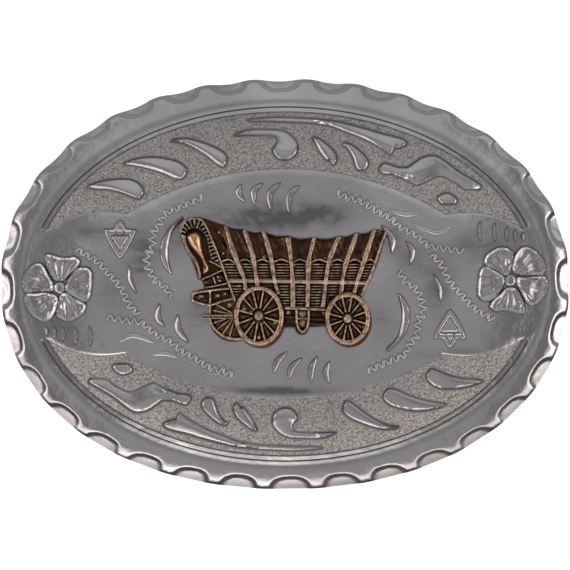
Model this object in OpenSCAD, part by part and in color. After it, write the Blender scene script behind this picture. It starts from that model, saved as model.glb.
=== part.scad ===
// Western belt buckle: a stamped oval face plate with a scooped edge, a cast covered
// wagon ornament riveted to its middle, and a belt bail and a hook soldered to its back.
// It lies face up. X runs along the plate, Y to the top of the artwork, Z out of the
// face. The origin is on the table, under the middle of the plate. Millimetres.

/* [Face plate] */
// Length of the plate, end to end
plate_length = 92; // [76:1:112]
// Width of the plate
plate_width = 66.4; // [58:0.2:82]
// Thickness of the struck sheet
sheet = 1.3; // [1:0.1:1.6]
// Height of the plate from the foot of its lip to its flat middle
plate_height = 4.6; // [4:0.1:6]
// Height of the lip above the table, when the buckle lies on its bail and hook
stand_off = 5; // [4:0.25:7]
// How far the face falls from its flat middle to the border line
face_fall = 1.6; // [1:0.1:2]
// Width of the rim outside the border line
rim_width = 5.2; // [4.2:0.1:6.4]
// Number of scoops struck around the edge
scoops = 32; // [24:2:40]
// Width of a scoop at the edge, as a share of the distance between scoops
scoop_share = 0.78; // [0.6:0.02:0.9]
// How far a scoop reaches in from the edge
scoop_reach = 2.2; // [1.4:0.1:2.8]
// How deep a scoop is struck below the rim
scoop_drop = 0.7; // [0.3:0.1:1]

/* [Wagon ornament] */
// Size of the ornament against its drawing
wagon_scale = 1; // [0.8:0.05:1.1]
// Thickness of the backing that carries the raised parts
backing = 0.7; // [0.5:0.1:1]
// Height of the wagon's side above the backing
side_relief = 1.2; // [0.8:0.1:1.6]
// Height of the staves and rails above the wagon's side
stave_relief = 0.35; // [0.2:0.05:0.6]
// Height of the near wheels above the backing
wheel_relief = 2.1; // [1.8:0.1:2.6]
// Number of spokes in a wheel
spokes = 12; // [8:1:16]
// Radius of the posts that hold the ornament
post_r = 0.9; // [0.7:0.1:1.2]

/* [Bail and hook] */
// Clear width inside the bail, for the belt
belt_width = 40; // [32:1:42]
// Radius of the bail's wire
wire_r = 1.5; // [1.2:0.1:1.8]
// Distance from the bail's pivot to its free bar
bail_reach = 13.5; // [12:0.5:16]
// Radius of the bail's corners, at the middle of the wire
bail_corner = 4; // [3:0.5:6]
// Place of the bail's pivot along the plate
bail_x = 19; // [17:0.5:22]
// Length of the bracket's rolled tube
tube_length = 22; // [16:1:28]
// Thickness of the bracket's strap
strap = 1; // [0.8:0.1:1.2]
// Length of the bracket's foot along the plate
foot_length = 7; // [5:0.5:8]
// Radial clearance of the wire in the tube
wire_clearance = 0.08; // [0.05:0.01:0.1]
// Place of the hook along the plate
hook_x = 25; // [20:0.5:25]
// Radius of the hook's shank
hook_r = 1.6; // [1.2:0.1:1.8]
// Radius of the hook's bend, at the middle of the shank
hook_bend = 2.4; // [2:0.1:3]
// Length of the hook's straight tip
hook_tip = 2.2; // [1:0.1:3]

/* [Hidden] */
$fn = 48;

// Heights. The bracket's tube and the hook's tip both reach the table, so the buckle lies level.
tube_r = wire_r + wire_clearance + strap;
pivot_z = tube_r;
lip_z = stand_off;
face_z = lip_z + plate_height;
back_z = face_z - sheet;
solder_gap = 0.02;

// Outline of the plate. Both ovals are superellipses.
edge_power = 2.13;
border_power = 2.05;
flat_share = 0.72;
border_length = plate_length / 2 - rim_width - 0.6;
border_width = plate_width / 2 - rim_width + 0.6;
steps_per_scoop = 6;
steps = scoops * steps_per_scoop;
lip_wall = 1.2;
arc_evenness = 4.6;
edge_notch = 0.3;

function oval(turn, a, b, power) = [
    a * sign(cos(turn)) * pow(abs(cos(turn)), 2 / power),
    b * sign(sin(turn)) * pow(abs(sin(turn)), 2 / power)];
// The turn that spaces the scoops evenly along the edge
function even(step) = let (turn = 360 * step / steps) turn + arc_evenness * sin(2 * turn);
function edge(step) = oval(even(step), plate_length / 2, plate_width / 2, edge_power);
function border(step) = oval(even(step), border_length, border_width, border_power);
// Steps from here to the middle of the nearest scoop
function from_scoop(step) = abs(step - steps_per_scoop * round(step / steps_per_scoop));
// 1 at the root of a scoop, 0 along its rim and on the lands; inset is the distance from the edge
function scoop(step, inset) = let (
    across = from_scoop(step) / (steps_per_scoop * scoop_share / 2),
    spread = across * across + pow(inset / scoop_reach, 2)) max(0, 1 - spread * spread);
// Height lost at a share of the way from the middle to the border line
function fall(share) = face_fall * pow(max(0, (share - flat_share) / (1 - flat_share)), 2);

// A ring of the face or its back, at a share of the border oval
function field_ring(share, z) = [for (i = [0:steps - 1])
    let (p = share * border(i)) [p.x, p.y, z - fall(share)]];
// A ring of the rim: out is its share of the way from the border line to the edge, lost its
// share of the rim's height, and struck says how much of the scoops it takes
function rim_ring(out, lost, below, struck) = [for (i = [0:steps - 1])
    let (b = border(i), e = edge(i), inset = (1 - out) * norm(e - b),
         p = b + out * (e - b), pull = out * edge_notch * scoop(i, 0) * struck / norm(e))
    [p.x * (1 - pull), p.y * (1 - pull), border_z - lost * rim_height - below - scoop_drop * struck * scoop(i, inset)]];

border_z = face_z - face_fall;
rim_height = border_z - lip_z;
front_shares = [flat_share, 0.86, 1];
back_shares = [for (i = [len(front_shares) - 1:-1:0]) front_shares[i]];
lip_share = 1 - lip_wall / rim_width;
rim_slope = [[0.16, 0.12], [0.4, 0.19], [0.55, 0.23], [0.68, 0.28], [0.8, 0.35], [0.91, 0.45], [1, 0.6]];
plate_rings = concat(
    [for (share = front_shares) field_ring(share, face_z)],
    [for (row = rim_slope) rim_ring(row[0], row[1], 0, 1)],
    [rim_ring(0.985, 1, 0, 0),
     rim_ring(lip_share, 1, 0, 0),
     rim_ring(0.5, 0.2, sheet, 0),
     rim_ring(0.16, 0.1, sheet, 0)],
    [for (share = back_shares) field_ring(share, back_z)]);

module ring_shell(rings) {
    count = len(rings[0]);
    last = len(rings) - 1;
    polyhedron(
        points = [for (ring = rings) each ring],
        faces = concat(
            [[for (i = [count - 1:-1:0]) i]],
            [[for (i = [0:count - 1]) last * count + i]],
            [for (r = [0:last - 1], i = [0:count - 1]) let (j = (i + 1) % count)
                [r * count + i, r * count + j, (r + 1) * count + j, (r + 1) * count + i]]));
}

// Posts of the ornament, on the plate
post_places = [[-9, 3], [1, 3]];
post_clearance = 0.1;
washer_r = 2.1;
washer = 0.4;
head_r = 1.5;
head = 0.5;
washer_bore_r = post_r + 0.05;

module face_plate() color("silver") difference() {
    ring_shell(plate_rings);
    for (p = post_places) translate([p.x, p.y, lip_z]) cylinder(r = post_r + post_clearance, h = plate_height * 2);
}

// Wagon. The outlines are in the ornament's own drawing, side on with its front to the left.
front_hub = [-4.2, -5.1];
front_size = [3.95, 4.75];
rear_hub = [10.05, -5.6];
rear_size = [3.55, 4.15];
off_hub = [-8.3, -5.3];
off_size = [3.9, 3.9];
felloe = 0.55;
hub_r = 0.85;
spoke = 0.28;
off_spoke = 0.2;
side_z = backing + side_relief;
web_z = backing + 1;
off_web_z = backing + 0.5;
off_top_z = backing + 0.9;
front_top_z = backing + side_relief;
bar = 0.5;
slat_gap = 0.14;
slat_pitch = 0.42;
groove = 0.35;

// Ridge of the cover: a sagging line whose cloth dips between the bows
bow_tops = [[-9.5, 9.3], [-6.6, 8.8], [-3.5, 8.5], [0.4, 7.8], [4.7, 7.5], [8.6, 7.7], [11.5, 8.2], [14.4, 8.8]];
bow_hems = [[-7.7, 3.9], [-5.1, 3.8], [-2.2, 3.7], [0.95, 3.6], [3.9, 3.5], [7.1, 3.5], [9.8, 3.4], [12.6, 3.4]];
bow_feet = [[-6.1, -1.2], [-4.4, -1.2], [-1.2, -1.9], [1.35, -3.9], [3.6, -3.9], [6, -3.9], [8.9, -2], [11, -2]];
sag = 0.35;
sag_steps = 4;
function cloth(from, to) = [for (i = [0:sag_steps - 1]) let (t = i / sag_steps)
    from + t * (to - from) - [0, sag * sin(180 * t)]];
function bezier(a, b, c, count) = [for (i = [0:count]) let (t = i / count)
    (1 - t) * (1 - t) * a + 2 * t * (1 - t) * b + t * t * c];
curve_steps = 6;
bonnet_left = concat(bezier([-13.9, 0.7], [-14.4, 2.6], [-15.4, 4.8], curve_steps),
                     bezier([-16, 6], [-18, 9.6], [-14.7, 10.8], curve_steps));
bonnet_right = bezier([-14.7, 10.8], [-13.2, 10.9], [-9.5, 9.3], curve_steps);
ridge = concat([for (i = [0:len(bow_tops) - 2]) each cloth(bow_tops[i], bow_tops[i + 1])],
               [bow_tops[len(bow_tops) - 1], [16.4, 8.6]]);
hem_front = [-10.3, 3.8];
hem_rear = [14.9, 3.4];
cover_outline = concat(bonnet_left, bonnet_right, ridge, [hem_rear, hem_front, [-12.4, 3.4], [-10.6, 2.2]]);
mouth_outline = concat(bezier([-13.5, 0.95], [-13.9, 3.4], [-15.2, 5.4], curve_steps),
                       bezier([-15.2, 5.4], [-17.2, 8.6], [-14.9, 8.8], curve_steps),
                       bezier([-14.9, 8.8], [-12.6, 8.8], [-13.2, 5.6], curve_steps),
                       bezier([-13.2, 5.6], [-12.9, 3.9], [-11.9, 1.75], curve_steps));
box_outline = [hem_front, hem_rear, [12.2, -2.2], [6.6, -4.3], [-0.2, -4.3], [-7.7, -3.2]];
seat_outline = [[-13.4, 0.85], [-10, 2.35], [-8.95, 0.1], [-12.9, -0.6]];
jockey_outline = [[-14.9, -1.3], [-12.9, -0.7], [-8.75, -0.35], [-7.7, -2.6], [-12, -3.5], [-14.9, -2.7]];
tongue_outline = [[-13.4, -5.25], [-12.6, -4.95], [-8, -4.95], [-8, -5.55], [-12.6, -5.6]];
gear_outline = [[-0.4, -4.25], [6.8, -4.25], [6.8, -6.7], [4.2, -6.9], [-0.4, -7]];
bucket_top = [2.7, -4.2];
bucket_size = [1.05, 3.9];
bucket_wall = 0.38;

module ellipse(centre, size, grow = 0) translate(centre)
    polygon([for (i = [0:47]) [(size.x + grow) * cos(i * 7.5), (size.y + grow) * sin(i * 7.5)]]);

module near_wheels(grow = 0) {
    ellipse(front_hub, front_size, grow);
    ellipse(rear_hub, rear_size, grow);
}

module strip(from, to, width) {
    reach = to - from;
    translate(from) rotate(atan2(reach.y, reach.x)) translate([0, -width / 2]) square([norm(reach), width]);
}

// Places the ornament's drawing on the plate, between two heights above its seat
module raised(from, to) translate([0, 0, face_z + from]) linear_extrude(to - from) scale(wagon_scale) children();

module bucket_shape(grow = 0) translate(bucket_top) {
    translate([-bucket_size.x - grow, -bucket_size.y + bucket_size.x])
        square([2 * (bucket_size.x + grow), bucket_size.y - bucket_size.x]);
    translate([0, -bucket_size.y + bucket_size.x]) circle(bucket_size.x + grow);
}

module wagon_backing() color("saddlebrown") {
    raised(0, backing) union() {
        polygon(cover_outline);
        polygon(mouth_outline);
        polygon(box_outline);
        polygon(seat_outline);
        polygon(jockey_outline);
        polygon(tongue_outline);
        polygon(gear_outline);
        ellipse(off_hub, off_size);
        near_wheels();
        bucket_shape();
        polygon([[-12.9, -0.6], [-8.9, 0.4], [-8.2, -2], [-12, -2]]);
    }
    for (p = post_places) translate([p.x, p.y, back_z - washer - head]) {
        cylinder(r = post_r, h = sheet + washer + head + backing / 2);
        cylinder(r = head_r, h = head);
    }
}

module wagon_cover() color("saddlebrown") raised(backing, side_z) difference() {
    polygon(cover_outline);
    polygon(mouth_outline);
}

module cover_mouth() color("goldenrod") raised(backing, backing + 0.8) difference() {
    polygon(mouth_outline);
    polygon(seat_outline);
}

module wagon_box() color("saddlebrown") difference() {
    raised(backing, side_z) difference() {
        polygon(box_outline);
        near_wheels();
        bucket_shape();
        polygon(seat_outline);
        polygon(jockey_outline);
    }
    raised(side_z - groove, side_z + 1) for (i = [1:17])
        translate([-6.4, 3.3 - i * slat_pitch]) square([18.6 - 0.25 * i, slat_gap]);
}

module stave_lines() {
    for (i = [0:len(bow_tops) - 1]) {
        strip(bow_tops[i] - [0, 0.2], bow_hems[i], 0.55);
        strip(bow_hems[i], bow_feet[i], 0.45);
    }
    strip([16.2, 8.4], hem_rear, 0.45);
    strip([14.7, 3.3], [12.3, -2], 0.45);
    strip([-10.1, 3.6], [-8, -2.4], 0.4);
    strip([-9, 0.5], [13.4, 0.1], 0.6);
    strip([0, -3.9], [6.6, -4.1], 0.35);
}

module bow_staves() color("tan") raised(side_z, side_z + stave_relief) intersection() {
    difference() {
        stave_lines();
        bucket_shape();
        near_wheels();
        polygon(seat_outline);
        polygon(jockey_outline);
    }
    union() {
        polygon(cover_outline);
        polygon(box_outline);
    }
}

// A cast wheel: a solid web, with the felloe, spokes and hub standing on it
module wheel_face(hub, size, width) {
    difference() {
        ellipse(hub, size);
        ellipse(hub, size, -felloe);
    }
    ellipse(hub, [hub_r, hub_r]);
    for (i = [0:spokes - 1]) let (turn = 360 * (i + 0.5) / spokes, rim = size - [felloe, felloe] / 2)
        strip(hub, hub + [rim.x * cos(turn), rim.y * sin(turn)], width);
}

module near_wheel(hub, size) color("tan") {
    raised(backing, web_z) ellipse(hub, size);
    raised(web_z, backing + wheel_relief) wheel_face(hub, size, spoke);
    raised(backing + wheel_relief, backing + wheel_relief + 0.3) ellipse(hub, [hub_r, hub_r] * 0.8);
}

module front_wheel() near_wheel(front_hub, front_size);
module rear_wheel() near_wheel(rear_hub, rear_size);

module off_wheel() color("peru") {
    raised(backing, off_web_z) off_area() ellipse(off_hub, off_size);
    raised(off_web_z, off_top_z) off_area() wheel_face(off_hub, off_size, off_spoke);
}

module off_area() difference() {
    children();
    near_wheels();
    polygon(jockey_outline);
    polygon(box_outline);
    polygon(tongue_outline);
}

module wagon_tongue() color("tan") raised(backing, front_top_z) difference() {
    polygon(tongue_outline);
    near_wheels();
}

module jockey_box() color("tan") {
    raised(backing, front_top_z - groove) difference() {
        polygon(jockey_outline);
        near_wheels();
    }
    raised(front_top_z - groove, front_top_z) intersection() {
        difference() {
            polygon(jockey_outline);
            near_wheels();
        }
        union() {
            strip([-15, -1.35], [-12.6, -0.75], bar);
            strip([-12.6, -0.9], [-7.9, -0.5], bar);
            strip([-15, -2.6], [-12, -3.3], bar);
            strip([-12, -3.25], [-7.8, -2.35], bar);
            strip([-12.2, -0.8], [-12.2, -3.4], bar);
            strip([-14.7, -1.2], [-14.7, -2.8], bar);
        }
    }
}

module driver_seat() color("tan") {
    raised(backing, front_top_z - groove) polygon(seat_outline);
    raised(front_top_z - groove, front_top_z) intersection() {
        polygon(seat_outline);
        union() {
            strip([-13.5, 0.7], [-10, 2.2], bar);
            strip([-12.9, -0.4], [-9, 0.3], bar);
            strip([-11.7, 1.4], [-11, 0], bar);
            strip([-13.2, 0.9], [-12.8, -0.6], bar);
        }
    }
}

module tar_bucket() color("tan") {
    raised(backing, side_z - 0.4) bucket_shape();
    raised(side_z - 0.4, side_z) {
        difference() {
            bucket_shape();
            bucket_shape(-bucket_wall);
        }
        strip(bucket_top + [-bucket_size.x, -1.3], bucket_top + [bucket_size.x, -1.3], bucket_wall);
    }
}

module running_gear() color("sienna") raised(backing, backing + 0.7) difference() {
    polygon(gear_outline);
    near_wheels();
    bucket_shape();
    polygon(box_outline);
}

module post_washer(place) color("darkkhaki") translate([place.x, place.y, back_z - washer])
    difference() {
        cylinder(r = washer_r, h = washer - solder_gap / 2);
        translate([0, 0, -washer]) cylinder(r = washer_bore_r, h = 3 * washer);
    }
module post_washer_front() post_washer(post_places[0]);
module post_washer_rear() post_washer(post_places[1]);

// Turns a drawing in the X-Z plane to stand along Y, centred on the middle line
module along_y(length) translate([0, length / 2, 0]) rotate([90, 0, 0]) linear_extrude(length) children();

module bail_bracket() color("gray") along_y(tube_length) difference() {
    union() {
        translate([bail_x, pivot_z]) circle(tube_r);
        translate([bail_x - tube_r, pivot_z]) square([strap, back_z - solder_gap - pivot_z]);
        translate([bail_x - tube_r - foot_length, back_z - solder_gap - strap]) square([foot_length + strap, strap]);
    }
    translate([bail_x, pivot_z]) circle(wire_r + wire_clearance);
}

// The bail hangs until its free bar touches the table
bail_half = belt_width / 2 + wire_r;
bail_hang = asin((pivot_z - wire_r) / bail_reach);

module wire(from, to) {
    reach = to - from;
    translate([from.x, from.y, 0]) rotate([0, 0, atan2(reach.y, reach.x)]) rotate([0, 90, 0])
        cylinder(r = wire_r, h = norm(reach));
}

module wire_corner(centre, turn) translate([centre.x, centre.y, 0]) rotate([0, 0, turn])
    rotate_extrude(angle = 90) translate([bail_corner, 0]) circle(wire_r);

module bail_loop() color("gray") translate([bail_x, 0, pivot_z]) rotate([0, bail_hang, 0]) {
    near = bail_corner;
    far = bail_reach - bail_corner;
    side = bail_half - bail_corner;
    wire([0, -side], [0, side]);
    wire([bail_reach, -side], [bail_reach, side]);
    wire([near, bail_half], [far, bail_half]);
    wire([near, -bail_half], [far, -bail_half]);
    wire_corner([far, side], 0);
    wire_corner([near, side], 90);
    wire_corner([near, -side], 180);
    wire_corner([far, -side], 270);
}

hook_base_r = 3.4;
hook_base = 0.9;

module belt_hook() color("gray") translate([-hook_x, 0, 0]) {
    shank_foot = hook_r + hook_bend;
    translate([0, 0, back_z - solder_gap - hook_base]) cylinder(r = hook_base_r, h = hook_base);
    translate([0, 0, shank_foot]) cylinder(r = hook_r, h = back_z - solder_gap - shank_foot - hook_base / 2);
    translate([-hook_bend, 0, shank_foot]) rotate([-90, 0, 0]) rotate_extrude(angle = 90)
        translate([hook_bend, 0]) circle(hook_r);
    translate([-hook_bend, 0, hook_r]) rotate([0, -90, 0]) cylinder(r = hook_r, h = hook_tip);
    translate([-hook_bend - hook_tip, 0, hook_r]) sphere(hook_r);
}

face_plate();
wagon_backing();
wagon_cover();
cover_mouth();
wagon_box();
bow_staves();
front_wheel();
rear_wheel();
off_wheel();
wagon_tongue();
jockey_box();
driver_seat();
tar_bucket();
running_gear();
post_washer_front();
post_washer_rear();
bail_bracket();
bail_loop();
belt_hook();
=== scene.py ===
"""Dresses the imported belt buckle: struck plate, foliage, rosettes, cast wagon and back hardware."""

from __future__ import annotations

import logging
import math
from dataclasses import dataclass, field
from enum import Enum
from typing import Callable, Sequence

import bmesh
import bpy
import numpy as np
from mathutils import Matrix, Vector, noise

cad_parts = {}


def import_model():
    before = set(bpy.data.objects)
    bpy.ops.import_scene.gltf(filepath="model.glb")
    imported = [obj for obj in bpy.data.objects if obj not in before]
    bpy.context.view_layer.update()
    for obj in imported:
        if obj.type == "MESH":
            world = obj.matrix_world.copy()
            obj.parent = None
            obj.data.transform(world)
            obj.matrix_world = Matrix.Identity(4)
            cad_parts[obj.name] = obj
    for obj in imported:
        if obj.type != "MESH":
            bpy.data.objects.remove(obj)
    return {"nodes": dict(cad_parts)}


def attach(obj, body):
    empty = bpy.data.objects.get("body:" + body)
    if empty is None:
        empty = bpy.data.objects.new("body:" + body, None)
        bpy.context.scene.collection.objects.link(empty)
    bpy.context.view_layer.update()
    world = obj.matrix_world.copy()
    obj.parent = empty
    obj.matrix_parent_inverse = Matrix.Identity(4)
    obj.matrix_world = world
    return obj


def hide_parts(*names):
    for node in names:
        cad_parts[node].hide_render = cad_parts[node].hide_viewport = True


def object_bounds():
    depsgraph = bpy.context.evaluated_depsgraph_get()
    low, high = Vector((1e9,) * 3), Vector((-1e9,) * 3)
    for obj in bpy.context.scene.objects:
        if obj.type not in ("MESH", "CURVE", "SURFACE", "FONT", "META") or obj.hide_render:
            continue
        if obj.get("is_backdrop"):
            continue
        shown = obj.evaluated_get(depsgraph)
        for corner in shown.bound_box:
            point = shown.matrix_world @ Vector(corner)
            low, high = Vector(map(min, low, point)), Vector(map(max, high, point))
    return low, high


MM = 0.001
BUCKLE = "buckle"
FAR = 1e9
log = logging.getLogger("buckle")

Point = tuple[float, float]
Ground = Callable[[float, float], float]
Floats = np.ndarray


# ---------- plan curves


def smooth(points: Sequence[Point], closed: bool = False, steps: int = 5) -> list[Vector]:
    """Passes a Catmull-Rom curve through plan points.

    Args:
        points: the points that the curve meets, in millimetres.
        closed: whether the curve returns to its first point.
        steps: straight pieces between two points.

    Returns:
        The curve as plan vectors.
    """
    given = [Vector(p) for p in points]
    count = len(given)
    spans = count if closed else count - 1

    def pick(i: int) -> Vector:
        """Gives a point by its place, wrapped or held at the ends."""
        return given[i % count] if closed else given[min(max(i, 0), count - 1)]

    curve: list[Vector] = []
    for i in range(spans):
        a, b, c, d = pick(i - 1), pick(i), pick(i + 1), pick(i + 2)
        for k in range(steps):
            t = k / steps
            curve.append(0.5 * (2 * b + (c - a) * t + (2 * a - 5 * b + 4 * c - d) * t * t
                                + (3 * b - a - 3 * c + d) * t ** 3))
    if not closed:
        curve.append(given[-1])
    return curve


def arc(start: Point, end: Point, rise: float, steps: int) -> list[Vector]:
    """Draws a circular arc that rises to the left of its chord.

    Args:
        start: first point.
        end: last point, which is left out.
        rise: height of the arc above the middle of its chord.
        steps: straight pieces in the arc.

    Returns:
        The arc's points without its last.
    """
    a, b = Vector(start), Vector(end)
    chord = b - a
    radius = (chord.length ** 2 / 4 + rise ** 2) / (2 * rise)
    normal = Vector((-chord.y, chord.x)).normalized()
    centre = (a + b) / 2 + normal * (rise - radius)
    half = math.asin(min(1.0, chord.length / 2 / abs(radius)))
    return [centre + Matrix.Rotation(half - 2 * half * k / steps, 2) @ (normal * radius)
            for k in range(steps)]


def lens(points: Sequence[Point], half_width: float, steps: int = 6) -> list[Vector]:
    """Draws the outline of a slender leaf around a middle line.

    Args:
        points: the middle line.
        half_width: half the leaf's width at its middle.
        steps: straight pieces between two points of the line.

    Returns:
        The closed outline.
    """
    line = smooth(points, steps=steps)
    last = len(line) - 1
    left: list[Vector] = []
    right: list[Vector] = []
    for i, p in enumerate(line):
        along = line[min(i + 1, last)] - line[max(i - 1, 0)]
        side = Vector((-along.y, along.x)).normalized()
        reach = half_width * max(0.12, math.sin(math.pi * i / last)) ** 0.7
        left.append(p + side * reach)
        right.append(p - side * reach)
    return left + right[::-1]


def along_path(xy: Floats, path: Sequence[Vector], closed: bool) -> tuple[Floats, Floats]:
    """Measures points against a path.

    Args:
        xy: points, one a row.
        path: the path's corners.
        closed: whether the path returns to its start.

    Returns:
        Each point's distance from the path, and how far along the path its nearest place lies.
    """
    corners = np.array([p[:2] for p in path], dtype=float)
    starts = corners if closed else corners[:-1]
    ends = np.roll(corners, -1, axis=0) if closed else corners[1:]
    step = ends - starts
    length = np.maximum(np.hypot(step[:, 0], step[:, 1]), 1e-9)
    run = np.concatenate(([0.0], np.cumsum(length)))[:-1]
    nearest = np.full(len(xy), FAR)
    travel = np.zeros(len(xy))
    for k in range(len(starts)):
        rel = xy - starts[k]
        t = np.clip(rel @ step[k] / length[k] ** 2, 0, 1)
        gap = np.hypot(*(rel - t[:, None] * step[k]).T)
        better = gap < nearest
        nearest[better] = gap[better]
        travel[better] = (run[k] + t * length[k])[better]
    return nearest, travel


def is_right(xy: Floats, path: Sequence[Vector]) -> Floats:
    """Says which points lie to the right of a path, seen along it.

    Args:
        xy: points, one a row.
        path: the path's corners.

    Returns:
        True for each point on the right.
    """
    corners = np.array([p[:2] for p in path], dtype=float)
    best = np.full(len(xy), FAR)
    right = np.zeros(len(xy), dtype=bool)
    for a, b in zip(corners, corners[1:]):
        step = b - a
        rel = xy - a
        t = np.clip(rel @ step / max(step @ step, 1e-9), 0, 1)
        gap = np.hypot(*(rel - t[:, None] * step).T)
        side = step[0] * rel[:, 1] - step[1] * rel[:, 0]
        near = gap < best
        best[near] = gap[near]
        right[near] = side[near] < 0
    return right


def is_inside(xy: Floats, outline: Sequence[Vector]) -> Floats:
    """Says which points lie inside an outline.

    Args:
        xy: points, one a row.
        outline: the outline's corners.

    Returns:
        True for each point inside.
    """
    inside = np.zeros(len(xy), dtype=bool)
    x, y = xy[:, 0], xy[:, 1]
    for a, b in zip(outline, list(outline[1:]) + [outline[0]]):
        if a.y == b.y:
            continue
        crosses = (a.y > y) != (b.y > y)
        at = a.x + (y - a.y) / (b.y - a.y) * (b.x - a.x)
        inside ^= crosses & (x < at)
    return inside


def straight(points: Sequence[Point]) -> list[Vector]:
    """Joins plan points with straight sides."""
    return [Vector(p) for p in points]


def oval(centre: Point, size: Point, half_count: int) -> list[Vector]:
    """Draws an oval with an even count of corners.

    Args:
        centre: its middle.
        size: half its width and half its height.
        half_count: corners in half the oval.

    Returns:
        The closed outline.
    """
    turns = [k * math.pi / half_count for k in range(2 * half_count)]
    return [Vector((centre[0] + size[0] * math.cos(t), centre[1] + size[1] * math.sin(t))) for t in turns]


def middle_of(outline: Sequence[Vector]) -> Vector:
    """Gives the mean of an outline's corners."""
    return sum((p for p in outline), Vector((0, 0))) / len(outline)


# ---------- mesh tools


def absorb(target: bmesh.types.BMesh, part: bmesh.types.BMesh) -> None:
    """Moves a finished part into a larger mesh and frees the part."""
    held = bpy.data.meshes.new("held")
    part.to_mesh(held)
    part.free()
    target.from_mesh(held)
    bpy.data.meshes.remove(held)


@dataclass
class Patch:
    """A struck or cast area: an outline with a height that follows the distance from its edge.

    Fields are in millimetres. The wall is the first steep strip inside the outline.
    """

    outline: list[Vector]
    ground: Ground
    rise: float = 0.35
    wall: float = 0.1
    crown: float = 0.7
    edge_share: float = 0.62
    pitch: float = 0.3
    grooves: list[list[Vector]] = field(default_factory=list)
    groove_depth: float = 0.22
    groove_width: float = 0.13
    sink: float = 0.25
    keel: list[Vector] = field(default_factory=list)
    keel_shift: float = 0.28
    keel_painted_shade: float = 0.4
    keel_width: float = 0.14
    groove_dark: float = 0.6
    outline_dark: float = 1.0
    outline_width: float = 0.15
    relief: Callable[[Floats, Floats], Floats] | None = None

    def heights(self, xy: Floats) -> Floats:
        """Works out how far each point stands above the ground.

        Args:
            xy: plan points, one a row.

        Returns:
            A height for each point.
        """
        gap, _ = along_path(xy, self.outline, True)
        steep = np.clip(gap / self.wall, 0, 1)
        soft = np.clip(gap / self.crown, 0, 1)
        z = self.rise * (self.edge_share * steep + (1 - self.edge_share) * (1 - (1 - soft) ** 2))
        if self.keel:
            away, _ = along_path(xy, self.keel, False)
            signed = np.where(is_right(xy, self.keel), -away, away) - self.keel_shift
            share = gap / np.maximum(gap + np.abs(signed), 1e-6)
            slope = self.rise * (0.22 * steep + 0.78 * share)
            shelf = self.rise * (0.8 + 0.2 * np.clip(share * 1.6, 0, 1)) * steep
            z = np.where(signed < 0, slope, shelf)
        for line in self.grooves:
            away, _ = along_path(xy, line, False)
            z = z - self.groove_depth * np.exp(-(away / self.groove_width) ** 2) * steep
        if self.relief is not None:
            z = z + self.relief(xy, gap) * steep
        return z

    def _darkness(self, xy: Floats, gap: Floats) -> Floats:
        """Says how dark the antiquing and the painted shade are: both round the foot, antiquing in the
        grooves, painted shade along the keel.

        Args:
            xy: plan points, one a row.
            gap: each point's distance from the outline.

        Returns:
            A darkness for each point.
        """
        dark = self.outline_dark * np.exp(-(gap / self.outline_width) ** 2)
        for line in self.grooves:
            away, _ = along_path(xy, line, False)
            dark = np.maximum(dark, self.groove_dark * np.exp(-(away / self.groove_width) ** 2))
        # Painted shade: a dark line along the keel's crest, where one side of the relief turns from the
        # light.
        if self.keel:
            away, _ = along_path(xy, self.keel, False)
            signed = np.where(is_right(xy, self.keel), -away, away) - self.keel_shift
            dark = np.maximum(dark, self.keel_painted_shade * np.exp(-(signed / self.keel_width) ** 2))
        return dark

    def build(self, target: bmesh.types.BMesh) -> None:
        """Adds the area to a mesh as a closed solid.

        Args:
            target: the mesh that takes it, in millimetres.
        """
        bm = bmesh.new()
        ring = [bm.verts.new((p.x, p.y, 0)) for p in self.outline]
        face = bm.faces.new(ring)
        face.normal_update()
        if face.normal.z < 0:
            bmesh.ops.reverse_faces(bm, faces=[face])
        for step in (self.wall, self.wall * 0.9):
            middle = max(bm.faces, key=lambda f: f.calc_area())
            bmesh.ops.inset_region(bm, faces=[middle], thickness=step, use_even_offset=False)
        xs = [p.x for p in self.outline]
        ys = [p.y for p in self.outline]
        for low, high, axis in ((min(xs), max(xs), 0), (min(ys), max(ys), 1)):
            normal = Vector((1, 0, 0) if axis == 0 else (0, 1, 0))
            for k in range(1, int((high - low) / self.pitch) + 1):
                bmesh.ops.bisect_plane(bm, geom=bm.verts[:] + bm.edges[:] + bm.faces[:], dist=1e-4,
                                       plane_co=normal * (low + k * self.pitch), plane_no=normal)
        bmesh.ops.triangulate(bm, faces=[f for f in bm.faces if len(f.verts) > 4])
        self._stand(bm)
        absorb(target, bm)

    def _stand(self, bm: bmesh.types.BMesh) -> None:
        """Lifts the flat area to its heights, darkens its foot and closes it underneath.

        Args:
            bm: the flat area.
        """
        mark = bm.verts.layers.float.new("antiquing_and_shade")
        xy = np.array([v.co.xy for v in bm.verts])
        gap, _ = along_path(xy, self.outline, True)
        for v, z, d in zip(bm.verts, self.heights(xy), self._darkness(xy, gap)):
            v.co.z = self.ground(v.co.x, v.co.y) + z
            v[mark] = d
        rim = [e for e in bm.edges if e.is_boundary]
        made = bmesh.ops.extrude_edge_only(bm, edges=rim)["geom"]
        for v in made:
            if isinstance(v, bmesh.types.BMVert):
                v.co.z -= self.sink
        under = [e for e in made if isinstance(e, bmesh.types.BMEdge) and e.is_boundary]
        bmesh.ops.edgeloop_fill(bm, edges=under)
        bmesh.ops.recalc_face_normals(bm, faces=bm.faces)


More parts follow.
